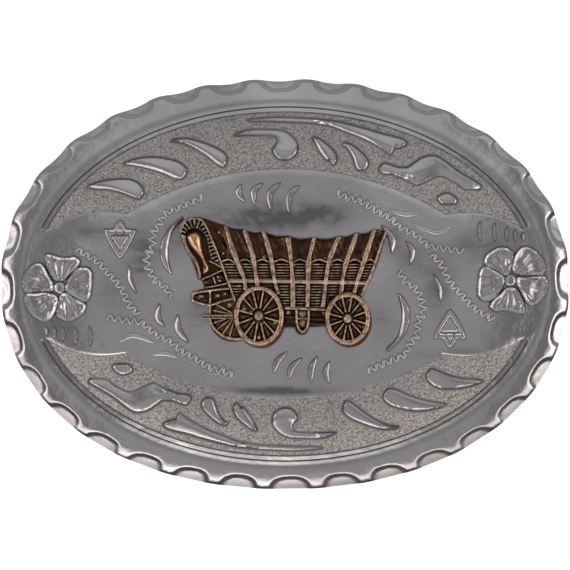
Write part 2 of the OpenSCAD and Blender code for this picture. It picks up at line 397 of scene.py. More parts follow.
@dataclass
class Bead:
    """A half-round bead along a path in space, with a size that changes along it."""

    path: list[Vector]
    half_width: float = 0.2
    rise: float = 0.2
    ends: tuple[float, float] = (1, 1)
    sides: int = 7
    closed: bool = False
    base: float = 0.12
    wave: Callable[[float], float] | None = None
    flank_shade: float = 0.3

    def _section(self, place: Vector, ahead: Vector, size: float) -> list[Vector]:
        """Gives the points around one cross-section.

        Args:
            place: a point of the path.
            ahead: the path's direction there.
            size: the section's size, as a share.

        Returns:
            The section's points, from one foot to the other.
        """
        flat = Vector((ahead.x, ahead.y, 0)).normalized()
        side = Vector((-flat.y, flat.x, 0))
        points = []
        for k in range(self.sides):
            turn = math.pi * k / (self.sides - 1)
            lift = self.rise * size * math.sin(turn) if 0 < k < self.sides - 1 else -self.base
            points.append(place + side * (self.half_width * size * math.cos(turn)) + Vector((0, 0, lift)))
        return points

    def build(self, target: bmesh.types.BMesh) -> None:
        """Adds the bead to a mesh by pushing one section along the path.

        Args:
            target: the mesh that takes it, in millimetres.
        """
        bm = bmesh.new()
        mark = bm.verts.layers.int.new("place")
        dark = bm.verts.layers.float.new("antiquing_and_shade")
        last = len(self.path) - 1
        count = last + 1

        def section(i: int) -> list[Vector]:
            """Gives the cross-section at a corner of the path, turned and sized to suit."""
            if self.closed:
                ahead = self.path[(i + 1) % count] - self.path[(i - 1) % count]
            else:
                ahead = self.path[min(i + 1, last)] - self.path[max(i - 1, 0)]
            t = i / max(last, 1)
            size = self.ends[0] + (self.ends[1] - self.ends[0]) * t
            if self.wave is not None:
                size *= self.wave(t)
            return self._section(self.path[i], ahead, size)

        verts = []
        for k, p in enumerate(section(0)):
            v = bm.verts.new(p)
            v[mark] = k
            # The feet are dark with antiquing; the flanks next to them take painted shade.
            v[dark] = 1.0 if k in (0, self.sides - 1) else self.flank_shade if k in (1, self.sides - 2) else 0.0
            verts.append(v)
        edges = [bm.edges.new((verts[k], verts[(k + 1) % self.sides])) for k in range(self.sides)]
        first = list(edges)
        for i in range(1, count):
            places = section(i)
            made = bmesh.ops.extrude_edge_only(bm, edges=edges)["geom"]
            fresh = {g for g in made if isinstance(g, bmesh.types.BMVert)}
            edges = [g for g in made if isinstance(g, bmesh.types.BMEdge) and set(g.verts) <= fresh]
            for v in fresh:
                v.co = places[v[mark]]
        if self.closed:
            bmesh.ops.bridge_loops(bm, edges=first + edges)
        else:
            bmesh.ops.edgeloop_fill(bm, edges=first)
            bmesh.ops.edgeloop_fill(bm, edges=edges)
        bmesh.ops.recalc_face_normals(bm, faces=bm.faces)
        bm.verts.layers.int.remove(mark)
        absorb(target, bm)


def finish_piece(name: str, bm: bmesh.types.BMesh, material: bpy.types.Material,
                 replaced: Sequence[str] = (), crease: float = 50.0,
                 antiquing_and_shade: Floats | None = None) -> bpy.types.Object:
    """Turns a mesh in millimetres into a piece of the object.

    Args:
        name: the piece's name.
        bm: the mesh, which is freed.
        material: its finish.
        replaced: CAD nodes that it stands for.
        crease: angle in degrees above which an edge stays sharp.
        antiquing_and_shade: how dark the patina and the painted shade are at each vertex, from 0 to 1.

    Returns:
        The new object, riding on the buckle.
    """
    bmesh.ops.scale(bm, vec=(MM, MM, MM), verts=bm.verts)
    for face in bm.faces:
        face.smooth = True
    for edge in bm.edges:
        edge.smooth = edge.calc_face_angle(0.0) < math.radians(crease)
    mesh = bpy.data.meshes.new(name)
    bm.to_mesh(mesh)
    bm.free()
    mesh.materials.append(material)
    if antiquing_and_shade is not None:
        mark = mesh.attributes.get("antiquing_and_shade") or mesh.attributes.new("antiquing_and_shade", "FLOAT", "POINT")
        mark.data.foreach_set("value", antiquing_and_shade.astype(np.float32))
    piece = bpy.data.objects.new(name, mesh)
    bpy.context.scene.collection.objects.link(piece)
    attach(piece, BUCKLE)
    if replaced:
        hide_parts(*replaced)
    log.info("%s: %d faces", name, len(mesh.polygons))
    return piece


# ---------- shader tools


class Wiring:
    """Adds nodes to a tree and joins them, for materials and for shared groups."""

    def __init__(self, tree: bpy.types.NodeTree) -> None:
        """Keeps the tree that takes the nodes."""
        self.tree = tree
        self.column = 0

    def node(self, kind: str, **values: object) -> bpy.types.Node:
        """Adds a node.

        Args:
            kind: the node's type, without its ShaderNode prefix where it has one.
            values: properties to set on it.

        Returns:
            The node.
        """
        made = self.tree.nodes.new(kind if kind.startswith("NodeGroup") else "ShaderNode" + kind)
        for key, value in values.items():
            setattr(made, key, value)
        made.location = (self.column * 180, 0)
        self.column += 1
        return made

    def join(self, source: bpy.types.NodeSocket, target: bpy.types.NodeSocket) -> None:
        """Joins two sockets."""
        self.tree.links.new(source, target)

    def feed(self, socket: bpy.types.NodeSocket, value: object) -> None:
        """Joins a socket to another, or gives it a plain value."""
        if isinstance(value, bpy.types.NodeSocket):
            self.join(value, socket)
        else:
            socket.default_value = value

    def sum(self, operation: str, a: object, b: object = 0.0, c: object = 0.0,
            clamp: bool = False) -> bpy.types.NodeSocket:
        """Adds a Math node and gives its result."""
        made = self.node("Math", operation=operation, use_clamp=clamp)
        for socket, value in zip(made.inputs, (a, b, c)):
            self.feed(socket, value)
        return made.outputs[0]

    def blend(self, share: object, a: object, b: object) -> bpy.types.NodeSocket:
        """Mixes two colours by a share and gives the result."""
        made = self.node("Mix", data_type="RGBA")
        for name, value in (("Factor_Float", share), ("A_Color", a), ("B_Color", b)):
            self.feed(next(s for s in made.inputs if s.identifier == name), value)
        return next(s for s in made.outputs if s.identifier == "Result_Color")

    def ramp(self, value: object, low: float, high: float, to_low: float = 0.0,
             to_high: float = 1.0) -> bpy.types.NodeSocket:
        """Maps a range of values to another, smoothly and held at its ends."""
        made = self.node("MapRange", interpolation_type="SMOOTHSTEP")
        for name, given in (("Value", value), ("From Min", low), ("From Max", high),
                            ("To Min", to_low), ("To Max", to_high)):
            self.feed(made.inputs[name], given)
        return made.outputs[0]

    def place(self) -> bpy.types.NodeSocket:
        """Gives the object's own coordinates."""
        return self.node("TexCoord").outputs["Object"]


def new_group(name: str, inputs: Sequence[tuple[str, float]], outputs: Sequence[str]) -> bpy.types.NodeTree:
    """Makes an empty shader group with number sockets.

    Args:
        name: the group's name.
        inputs: socket names with their first values.
        outputs: socket names.

    Returns:
        The group.
    """
    tree = bpy.data.node_groups.new(name, "ShaderNodeTree")
    for socket, value in inputs:
        made = tree.interface.new_socket(name=socket, in_out="INPUT", socket_type="NodeSocketFloat")
        made.default_value = value
    for socket in outputs:
        tree.interface.new_socket(name=socket, in_out="OUTPUT", socket_type="NodeSocketFloat")
    return tree


class SharedEffects:
    """The node groups that every metal finish uses, each built once."""

    def __init__(self) -> None:
        """Builds the groups, each once."""
        self.hollows = self._build_hollows()
        self.rubbed = self._build_rubbed()
        self.scratches = self._build_scratches()
        self.grain = self._build_grain()

    @staticmethod
    def _build_hollows() -> bpy.types.NodeTree:
        """Finds the hollows where dark antiquing stays, and where painted shade darkens the relief's
        outlines.

        Returns:
            A group with a mask that is 1 deep in a hollow.
        """
        tree = new_group("antiqued_and_shaded_hollows", (("Reach", 0.0006), ("Strength", 1.0), ("Breakup", 0.3)),
                         ("Mask",))
        w = Wiring(tree)
        given = w.node("NodeGroupInput")
        # Occlusion places both the patina in the hollows and painted shade round each relief's foot.
        shut = w.node("AmbientOcclusion", samples=8)
        w.join(given.outputs["Reach"], shut.inputs["Distance"])
        speck = w.node("TexNoise")
        w.join(w.place(), speck.inputs["Vector"])
        speck.inputs["Scale"].default_value = 900.0
        speck.inputs["Detail"].default_value = 4.0
        worn = w.sum("MULTIPLY", w.sum("SUBTRACT", speck.outputs["Fac"], 0.5), given.outputs["Breakup"])
        mask = w.ramp(w.sum("ADD", shut.outputs["AO"], worn), 0.5, 0.97, 1.0, 0.0)
        out = w.node("NodeGroupOutput")
        w.join(w.sum("MULTIPLY", mask, given.outputs["Strength"], clamp=True), out.inputs["Mask"])
        return tree

    @staticmethod
    def _build_rubbed() -> bpy.types.NodeTree:
        """Finds the edges that wear has rubbed bright.

        Returns:
            A group with a mask that is 1 on a sharp outer edge.
        """
        tree = new_group("rubbed_edges", (("Reach", 0.0002), ("Strength", 1.0)), ("Mask",))
        w = Wiring(tree)
        given = w.node("NodeGroupInput")
        open_side = w.node("AmbientOcclusion", samples=6, inside=True, only_local=True)
        w.join(given.outputs["Reach"], open_side.inputs["Distance"])
        mask = w.ramp(open_side.outputs["AO"], 0.35, 0.8, 1.0, 0.0)
        out = w.node("NodeGroupOutput")
        w.join(w.sum("MULTIPLY", mask, given.outputs["Strength"], clamp=True), out.inputs["Mask"])
        return tree

    @staticmethod
    def _build_scratches() -> bpy.types.NodeTree:
        """Makes fine handling scratches and a slow cloud, which the finishes use for an uneven polish and
        for painted dark reflections.

        Returns:
            A group with the scratches' height and a slow cloud.
        """
        tree = new_group("handling_scratches", (("Scale", 400.0), ("Stretch", 14.0)), ("Height", "Cloud"))
        w = Wiring(tree)
        given = w.node("NodeGroupInput")
        where = w.place()
        heights = []
        for turn in (0.35, 1.9, 2.7):
            aim = w.node("Mapping")
            aim.inputs["Rotation"].default_value = (0.0, 0.0, turn)
            w.join(where, aim.inputs["Vector"])
            pull = w.node("VectorMath", operation="MULTIPLY")
            w.join(aim.outputs[0], pull.inputs[0])
            size = w.node("CombineXYZ")
            w.join(given.outputs["Stretch"], size.inputs[0])
            size.inputs[1].default_value = 1.0
            size.inputs[2].default_value = 1.0
            w.join(size.outputs[0], pull.inputs[1])
            line = w.node("TexNoise")
            w.join(pull.outputs[0], line.inputs["Vector"])
            w.join(given.outputs["Scale"], line.inputs["Scale"])
            line.inputs["Detail"].default_value = 3.0
            heights.append(w.ramp(line.outputs["Fac"], 0.55, 0.75))
        cloud = w.node("TexNoise")
        w.join(where, cloud.inputs["Vector"])
        cloud.inputs["Scale"].default_value = 90.0
        cloud.inputs["Detail"].default_value = 5.0
        out = w.node("NodeGroupOutput")
        w.join(w.sum("ADD", w.sum("ADD", heights[0], heights[1]), heights[2]), out.inputs["Height"])
        w.join(cloud.outputs["Fac"], out.inputs["Cloud"])
        return tree

    @staticmethod
    def _build_grain() -> bpy.types.NodeTree:
        """Makes the fine pebbles of cast or matted metal.

        Returns:
            A group with the pebbles' height, and a mask of the pits between them.
        """
        tree = new_group("metal_grain", (("Scale", 2500.0),), ("Height", "Pits"))
        w = Wiring(tree)
        given = w.node("NodeGroupInput")
        where = w.place()
        pebble = w.node("TexVoronoi", feature="SMOOTH_F1")
        w.join(where, pebble.inputs["Vector"])
        w.join(given.outputs["Scale"], pebble.inputs["Scale"])
        speck = w.node("TexNoise")
        w.join(where, speck.inputs["Vector"])
        w.join(w.sum("MULTIPLY", given.outputs["Scale"], 2.0), speck.inputs["Scale"])
        out = w.node("NodeGroupOutput")
        w.join(w.sum("SUBTRACT", speck.outputs["Fac"], pebble.outputs["Distance"]), out.inputs["Height"])
        gaps = w.sum("MULTIPLY_ADD", speck.outputs["Fac"], 0.35, pebble.outputs["Distance"])
        w.join(w.ramp(gaps, 0.5, 0.85), out.inputs["Pits"])
        return tree


class AntiquingAndShade(Enum):
    """How strongly a finish takes its dark antiquing and the painted shade in its hollows."""

    SLIGHT = 0.4
    LIGHT = 0.6
    HEAVY = 1.0


@dataclass(frozen=True)
class MetalFinish:
    """A metal with antiquing and painted shade in its hollows, painted dark reflections, rubbed edges,
    scratches and grain.
    """

    name: str
    bright: tuple[float, float, float]
    worn: tuple[float, float, float]
    dark: tuple[float, float, float]
    roughness: float
    antiquing_and_shade: AntiquingAndShade
    reach: float = 0.0006
    edge_reach: float = 0.0002
    edge_strength: float = 0.6
    breakup: float = 0.3
    cloud_spread: float = 0.1
    scratch_depth: float = 0.000004
    grain_scale: float = 2500.0
    grain_depth: float = 0.0
    painted: float = 0.0
    wave_depth: float = 0.0
    pitted: float = 0.0
    cloud_shade: float = 0.25
    shade: float = 0.72

    def _group(self, w: Wiring, tree: bpy.types.NodeTree, **values: float) -> bpy.types.Node:
        """Places a shared group with this finish's own values."""
        made = w.node("Group", node_tree=tree)
        for key, value in values.items():
            made.inputs[key].default_value = value
        return made

    def make(self, shared: SharedEffects) -> bpy.types.Material:
        """Builds the material.

        Args:
            shared: the groups that the finishes have in common.

        Returns:
            The material.
        """
        material = bpy.data.materials.new(self.name)
        material.use_nodes = True
        tree = material.node_tree
        shader = tree.nodes["Principled BSDF"]
        w = Wiring(tree)
        hollow = self._group(w, shared.hollows, Reach=self.reach, Strength=self.antiquing_and_shade.value,
                             Breakup=self.breakup).outputs["Mask"]
        # The vertex attribute adds patina in grooves and round feet, and painted shade: dark keels and bead
        # flanks, the rim's cove, the lower scoops and dark reflections on the field.
        if self.painted > 0:
            mark = w.node("Attribute", attribute_name="antiquing_and_shade")
            hollow = w.sum("MAXIMUM", hollow, w.sum("MULTIPLY", mark.outputs["Fac"], self.painted))
        rubbed = self._group(w, shared.rubbed, Reach=self.edge_reach, Strength=self.edge_strength)
        scratch = self._group(w, shared.scratches)
        grain = self._group(w, shared.grain, Scale=self.grain_scale)
        if self.pitted > 0:
            hollow = w.sum("MAXIMUM", hollow, w.sum("MULTIPLY", grain.outputs["Pits"], self.pitted))
        cloud = w.ramp(scratch.outputs["Cloud"], 0.3, 0.7)
        metal = w.blend(rubbed.outputs["Mask"], (*self.worn, 1.0), (*self.bright, 1.0))
        # Painted dark reflections: the slow cloud darkens the colour towards a shaded tone.
        shaded = (*(self.shade * c for c in self.worn), 1.0)
        metal = w.blend(w.sum("MULTIPLY", cloud, self.cloud_shade), metal, shaded)
        w.join(w.blend(hollow, metal, (*self.dark, 1.0)), shader.inputs["Base Color"])
        w.join(w.ramp(hollow, 0.0, 1.0, 1.0, 0.55), shader.inputs["Metallic"])
        rough = w.sum("MULTIPLY_ADD", cloud, self.cloud_spread, self.roughness)
        w.join(w.sum("MULTIPLY_ADD", hollow, 0.35, rough, clamp=True), shader.inputs["Roughness"])
        height = w.sum("MULTIPLY", scratch.outputs["Height"], -self.scratch_depth)
        if self.wave_depth > 0:
            height = w.sum("ADD", height, w.sum("MULTIPLY", scratch.outputs["Cloud"], self.wave_depth))
        if self.grain_depth > 0:
            height = w.sum("ADD", height, w.sum("MULTIPLY", grain.outputs["Height"], self.grain_depth))
        bump = w.node("Bump")
        bump.inputs["Strength"].default_value = 1.0
        bump.inputs["Distance"].default_value = 1.0
        w.join(height, bump.inputs["Height"])
        w.join(bump.outputs["Normal"], shader.inputs["Normal"])
        return material


SILVER = MetalFinish("polished_nickel_silver", (0.82, 0.8, 0.79), (0.66, 0.65, 0.66), (0.03, 0.028, 0.027),
                     roughness=0.15, antiquing_and_shade=AntiquingAndShade.SLIGHT, reach=0.0005, breakup=0.12, painted=0.95,
                     wave_depth=0.0006, cloud_shade=0.6)
MATTED = MetalFinish("matted_nickel_silver", (0.8, 0.79, 0.78), (0.6, 0.585, 0.57), (0.06, 0.055, 0.05),
                     roughness=0.3, antiquing_and_shade=AntiquingAndShade.LIGHT, reach=0.00045, grain_depth=0.00008,
                     grain_scale=3500.0, edge_strength=0.5, painted=0.85, pitted=0.6)
BACK = MetalFinish("dull_nickel_back", (0.7, 0.69, 0.67), (0.52, 0.51, 0.5), (0.1, 0.09, 0.08),
                   roughness=0.42, antiquing_and_shade=AntiquingAndShade.LIGHT, reach=0.002, cloud_spread=0.2,
                   grain_depth=0.00001)
BRASS = MetalFinish("worn_brass", (0.95, 0.77, 0.6), (0.7, 0.5, 0.35), (0.02, 0.01, 0.006),
                    roughness=0.28, antiquing_and_shade=AntiquingAndShade.HEAVY, reach=0.0006, breakup=0.8, grain_depth=0.00012,
                    grain_scale=1500.0, edge_strength=1.0, painted=0.9, pitted=0.62)
DARK_BRASS = MetalFinish("brown_patina_brass", (0.7, 0.47, 0.3), (0.095, 0.046, 0.027),
                         (0.008, 0.004, 0.003), roughness=0.22, antiquing_and_shade=AntiquingAndShade.HEAVY, reach=0.0006,
                         breakup=0.6, grain_depth=0.0001, grain_scale=900.0, edge_strength=0.9, painted=0.8,
                         pitted=0.7)
WEB_BRASS = MetalFinish("warm_brown_brass", (0.8, 0.55, 0.36), (0.17, 0.09, 0.052), (0.012, 0.006, 0.004),
                        roughness=0.25, antiquing_and_shade=AntiquingAndShade.HEAVY, reach=0.00035, breakup=0.6,
                        grain_depth=0.0001, grain_scale=1200.0, edge_strength=0.9, painted=0.8, pitted=0.6)
MOUTH_BRASS = MetalFinish("bright_brass", (0.95, 0.72, 0.5), (0.72, 0.46, 0.28), (0.05, 0.025, 0.012),
                          roughness=0.2, antiquing_and_shade=AntiquingAndShade.LIGHT, reach=0.0008, breakup=0.5,
                          grain_depth=0.00003, grain_scale=1500.0, painted=0.8)
STEEL = MetalFinish("nickel_plated_steel", (0.75, 0.74, 0.72), (0.55, 0.545, 0.54), (0.12, 0.1, 0.08),
                    roughness=0.26, antiquing_and_shade=AntiquingAndShade.LIGHT, reach=0.0012, cloud_spread=0.16,
                    grain_depth=0.000006)
WASHER = MetalFinish("plain_brass", (0.8, 0.62, 0.38), (0.6, 0.44, 0.25), (0.15, 0.1, 0.06),
                     roughness=0.38, antiquing_and_shade=AntiquingAndShade.LIGHT, reach=0.0008, grain_depth=0.00001)
SOLDER = MetalFinish("soft_solder", (0.6, 0.6, 0.6), (0.42, 0.42, 0.43), (0.14, 0.13, 0.12),
                     roughness=0.45, antiquing_and_shade=AntiquingAndShade.LIGHT, reach=0.0008, grain_depth=0.00003,
                     grain_scale=1500.0)


# ---------- the struck plate


@dataclass
class PlateForm:
    """The form that the die gives the plate: two ovals, a slow dome and a falling rim."""

    half_length: float = 46.0
    half_width: float = 33.2
    edge_power: float = 2.13
    border_length: float = 40.2
    border_width: float = 28.6
    border_power: float = 2.05
    face_z: float = 9.6
    lip_z: float = 5.0
    sheet: float = 1.3
    fall: float = 1.6
    flat_share: float = 0.72
    edge_lost: float = 0.6
    slope: tuple[Point, ...] = ((-0.2, -0.07), (0, 0), (0.16, 0.07), (0.4, 0.145), (0.55, 0.2),
                                (0.68, 0.26), (0.8, 0.34), (0.91, 0.45), (1, 0.6), (1.1, 0.8))

    def __post_init__(self) -> None:
        """Smooths the rim's slope once."""
        curve = smooth(self.slope, steps=6)
        self._out = np.array([p.x for p in curve])
        self._lost = np.array([p.y for p in curve])
        self.border_z = self.face_z - self.fall
        self.rim_height = self.border_z - self.lip_z
        self.edge_z = self.border_z - self.rim_height * self.edge_lost

    def rim_z(self, out: Floats) -> Floats:
        """Gives the rim's height at a share of the way from the border to the edge."""
        return self.border_z - self.rim_height * np.interp(out, self._out, self._lost)

    def edge_radius(self, turn: Floats) -> Floats:
        """Gives the distance from the centre to the plate's edge in a direction."""
        return (np.abs(np.cos(turn) / self.half_length) ** self.edge_power
                + np.abs(np.sin(turn) / self.half_width) ** self.edge_power) ** (-1 / self.edge_power)

    def border_radius(self, turn: Floats) -> Floats:
        """Gives the distance from the centre to where the face becomes the rim."""
        return (np.abs(np.cos(turn) / self.border_length) ** self.border_power
                + np.abs(np.sin(turn) / self.border_width) ** self.border_power) ** (-1 / self.border_power)

    def surface(self, x: Floats, y: Floats) -> Floats:
        """Gives the height of the smooth face and rim, without scoops or artwork.

        Args:
            x: places along the plate.
            y: places across the plate.

        Returns:
            Heights above the table.
        """
        radius = np.hypot(x, y)
        turn = np.arctan2(y, x)
        border, edge = self.border_radius(turn), self.edge_radius(turn)
        share = radius / border
        past_flat = np.clip(share - self.flat_share, 0, None) / (1 - self.flat_share)
        dome = self.face_z - self.fall * past_flat ** 2
        return np.where(share <= 1, dome, self.rim_z((radius - border) / (edge - border)))

    def at(self, x: float, y: float) -> float:
        """Gives the height of the smooth face at one place."""
        return float(self.surface(np.float64(x), np.float64(y)))


@dataclass
class BandShape:
    """The two sunk bands, above and below the wagon, between the field and the border bead."""

    form: PlateForm
    outer_length: float = 40.6
    outer_width: float = 27.85
    depth: float = 0.32
    top_left: Point = (-38.6, 8.65)
    left_cusp: Point = (-25.5, 11.2)
    right_cusp: Point = (25.9, 11.1)
    top_right: Point = (38.6, 8.7)

    def inner(self) -> list[Vector]:
        """Draws the upper band's lower side.

        Returns:
            The line, from its right tip to its left one.
        """
        left = arc(self.top_left, self.left_cusp, 1.35, 14)
        middle = arc(self.left_cusp, self.right_cusp, 7.35, 40)
        right = arc(self.right_cusp, self.top_right, 1.3, 14)
        return (left + middle + right + [Vector(self.top_right)])[::-1]

    def outline(self) -> list[Vector]:
        """Draws the whole upper band.

        Returns:
            The closed outline.
        """
        low = self.inner()
        start = math.atan2(low[-1].y / self.outer_width, low[-1].x / self.outer_length)
        end = math.atan2(low[0].y / self.outer_width, low[0].x / self.outer_length)
        steps = 90
        top = []
        for k in range(1, steps):
            turn = start + (end - start) * k / steps
            top.append(Vector((self.outer_length * math.cos(turn), self.outer_width * math.sin(turn))))
        return low + top

    def inner_radius(self, turn: Floats) -> Floats:
        """Gives the distance from the centre to a band's inner side.

        Args:
            turn: directions from the centre.

        Returns:
            Distances, which are those of the outer side where there's no band.
        """
        low = self.inner()
        angles = np.array([math.atan2(p.y, p.x) for p in low])
        radii = np.array([p.length for p in low])
        folded = np.mod(turn, math.pi)
        order = np.argsort(angles)
        far = self.outer_radius(turn)
        found = np.interp(folded, angles[order], radii[order])
        inside = (folded > angles.min()) & (folded < angles.max())
        return np.where(inside, np.minimum(found, far), far)

    def outer_radius(self, turn: Floats) -> Floats:
        """Gives the distance from the centre to a band's outer side."""
        return ((np.cos(turn) / self.outer_length) ** 2 + (np.sin(turn) / self.outer_width) ** 2) ** -0.5


class Section(Enum):
    """The parts of the plate's section, from the middle of the face round to the middle of the back."""

    FIELD = "polished field"
    WALL = "inner wall of a band"
    BAND = "floor of a band"
    RISE = "outer wall of a band"
    BEAD = "border bead"
    GROOVE = "groove outside the bead"
    RIM = "falling rim"
    LIP = "turned-down lip"
    UNDER = "underside of the rim"
    BACK = "back of the face"


SECTION_ROWS: dict[Section, tuple[float, ...]] = {
    Section.FIELD: (0, 0.2, 0.3, 0.38, 0.44, 0.5, 0.54, 0.58, 0.62, 0.66, 0.7, 0.735, 0.77, 0.8, 0.83,
                    0.855, 0.88, 0.905, 0.93, 0.95, 0.97, 0.985),
    Section.WALL: (0.0, 0.25, 0.85, 1.0),
    Section.BAND: (0.15, 0.35, 0.55, 0.75, 0.93),
    Section.RISE: (0.0, 0.2, 0.8, 1.0),
    Section.BEAD: (0.15, 0.5, 0.85, 1.0),
    Section.GROOVE: (0.2, 0.45, 0.7, 1.0),
    Section.RIM: (0.03, 0.07, 0.12, 0.17, 0.23, 0.3, 0.36, 0.42, 0.46, 0.5, 0.53, 0.56, 0.59, 0.62, 0.65,
                  0.68, 0.71, 0.745, 0.78, 0.82, 0.86, 0.9, 0.94, 0.97, 0.99, 1.0),
    Section.LIP: (0.15, 0.5, 0.9, 1.0, 1.5, 2.0),
    Section.UNDER: (0.92, 0.8, 0.65, 0.5, 0.35, 0.2, 0.08),
    Section.BACK: (1.0, 0.95, 0.9, 0.86, 0.8, 0.72, 0.5, 0.25, 0.0),
}


@dataclass
class StruckPlate:
    """The sheet with its dome, sunk bands, border bead, scooped rim and turned-down lip."""

    form: PlateForm
    bands: BandShape
    scoops: int = 32
    steps_per_scoop: int = 24
    scoop_share: float = 0.8
    scoop_reach: float = 2.35
    scoop_drop: float = 0.45
    floor_slope: float = 0.6
    scoop_phase: float = 0.1
    scoop_softness: float = 0.7
    notch: float = 0.4
    lip_notch: float = 0.8
    arc_evenness: float = 4.6
    bead_width: float = 0.5
    bead_rise: float = 0.03
    groove_width: float = 0.26
    groove_depth: float = 0.22
    bead_gap: float = 0.08
    fade: float = 0.35
    cove_depth: float = 0.09
    cove_at: float = 0.16
    cove_width: float = 0.09
    cove_painted_shade: float = 0.42
    cove_shade_at: float = 0.17
    cove_shade_width: float = 0.07
    rise_dark: float = 0.8
    lower_scoop_shade_depth: float = 0.42
    lip_wall: float = 1.2
    lip_lean: float = 0.0012
    roll: float = 0.14
    reflection_strength: float = 2.4
    reflection_most: float = 0.8
    # Painted dark reflections on the field: the middle, half width, half height and depth of each blotch.
    painted_reflections: tuple[tuple[float, float, float, float, float], ...] = (
        (-3.0, 10.8, 8.0, 1.9, 0.42), (5.5, 11.2, 5.0, 1.6, 0.3), (-23.0, 5.0, 2.4, 4.5, 0.3),
        (-17.5, 7.5, 1.6, 3.0, 0.2), (17.5, 7.5, 1.4, 2.4, 0.3), (24.5, -0.5, 2.0, 4.0, 0.28),
        (20.5, 4.5, 2.0, 2.4, 0.2), (-1.5, -17.2, 7.5, 0.6, 0.55), (-31.5, 8.6, 5.5, 1.2, 0.22),
        (31.5, 6.5, 4.0, 2.4, 0.22), (-13.5, -4.0, 2.0, 3.5, 0.16), (28.0, -11.5, 5.0, 1.0, 0.2),
        (15.5, -5.5, 2.2, 2.8, 0.12), (-27.5, -1.5, 2.2, 2.2, 0.15))

    def _beside_band(self, turn: Floats) -> Floats:
        """Says where a band lies in a direction: 1 along it, 0 past its tips."""
        return np.clip((self.bands.outer_radius(turn) - self.bands.inner_radius(turn)) / self.fade, 0, 1)

    def _scoop(self, step: Floats, inset: Floats) -> Floats:
        """Says how deep a scoop is struck.

        Args:
            step: places counted along the edge.
            inset: distances in from the edge.

        Returns:
            1 on a scoop's floor, 0 on the lands between.
        """
        place = (step / self.steps_per_scoop - self.scoop_phase) % 1.0
        across = np.minimum(place, 1 - place) / (self.scoop_share / 2)
        spread = across ** 2.6 + (inset / self.scoop_reach) ** 2.4
        soft = np.clip((1 - spread) / self.scoop_softness, 0, 1)
        return soft * soft * (3 - 2 * soft)

    def _pull(self, turn: Floats, step: Floats) -> Floats:
        """Works out how far the hammered edge is drawn in: a soft wave, deepest along the top.

        Args:
            turn: the direction of each point.
            step: the same, counted along the edge.

        Returns:
            A distance for each point.
        """
        place = step / self.steps_per_scoop - self.scoop_phase
        wave = 0.5 + 0.5 * np.cos(2 * math.pi * place)
        return self.notch * wave * np.clip(0.5 + 0.9 * np.sin(turn), 0.2, 1.0)

    def _place(self, part: Section, share: float, turn: Floats, step: Floats) -> tuple[Floats, Floats]:
        """Works out one row of the plate.

        Args:
            part: the part of the section that the row is on.
            share: how far along that part it lies.
            turn: the direction of each point.
            step: the same, counted along the edge.

        Returns:
            Each point's distance from the centre, and its height.
        """
        f = self.form
        edge, border = f.edge_radius(turn), f.border_radius(turn)
        outer = self.bands.outer_radius(turn)
        inner = self.bands.inner_radius(turn)
        wall = np.minimum(0.11, (outer - inner) * 0.45 + 0.004)
        deep = self.bands.depth * np.clip((outer - inner) / 0.5, 0, 1)
        shown = self._beside_band(turn)
        bead_out = outer + self.bead_gap + self.bead_width
        rim_in = bead_out + self.groove_width

        def top(radius: Floats) -> Floats:
            """Gives the smooth surface's height at a distance from the centre."""
            return f.surface(radius * np.cos(turn), radius * np.sin(turn))

        roll = self.roll * shown
        if part is Section.FIELD:
            radius = inner * share
            return radius, top(radius) - roll * max(0.0, (share - 0.955) / 0.045) ** 2
        if part is Section.WALL:
            radius = inner + wall * share
            return radius, top(radius) - roll - (deep - roll) * share
        if part is Section.BAND:
            radius = inner + wall + (outer - inner - 2 * wall) * share
            return radius, top(radius) - deep
        if part is Section.RISE:
            radius = outer - wall + wall * share
            return radius, top(radius) - deep * (1 - share) + self.bead_rise * shown * share
        if part is Section.BEAD:
            radius = outer + (self.bead_gap + self.bead_width) * share
            crown = 1 - share * 0.5
            return radius, top(radius) + self.bead_rise * shown * crown
        if part is Section.GROOVE:
            radius = bead_out + self.groove_width * share
            dip = math.sin(math.pi * share) if share < 1 else 0.0
            return radius, top(radius) - self.groove_depth * shown * dip
        if part is Section.RIM:
            radius = rim_in + (edge - rim_in) * share
            out = (radius - border) / (edge - border)
            inset = edge - radius
            struck = self._scoop(step, inset)
            cove = self.cove_depth * math.exp(-((share - self.cove_at) / self.cove_width) ** 2)
            pull = self._pull(turn, step) * share ** 3
            z = f.rim_z(out) - cove
            floor = f.edge_z - self.scoop_drop + self.floor_slope * inset
            return radius - pull, z - np.maximum(z - floor, 0.0) * struck
        if part is Section.LIP:
            struck = self._scoop(step, np.zeros_like(step))
            start = f.edge_z - self.scoop_drop * struck
            pull = self._pull(turn, step)
            if share <= 1:
                radius = edge * (1 - self.lip_lean * share) - pull * (1 - (1 - self.lip_notch) * share)
                return radius, start + (f.lip_z - start) * share
            foot = edge * (1 - self.lip_lean) - self.lip_notch * pull
            return foot - self.lip_wall * (share - 1), np.full_like(turn, f.lip_z)
        if part is Section.UNDER:
            inset = self.lip_wall + self.lip_notch * self.notch + 0.2
            radius = border + (edge - inset - border) * share
            lost = np.interp(share, [0, 0.16, 0.5, 0.8, 1], [0.05, 0.1, 0.2, 0.36, 0.62])
            return radius, np.full_like(turn, 1.0) * (f.border_z - f.rim_height * lost - f.sheet)
        radius = border * share
        fall = f.fall * max(0.0, (share - f.flat_share) / (1 - f.flat_share)) ** 2
        return radius, np.full_like(turn, f.face_z - f.sheet - fall)

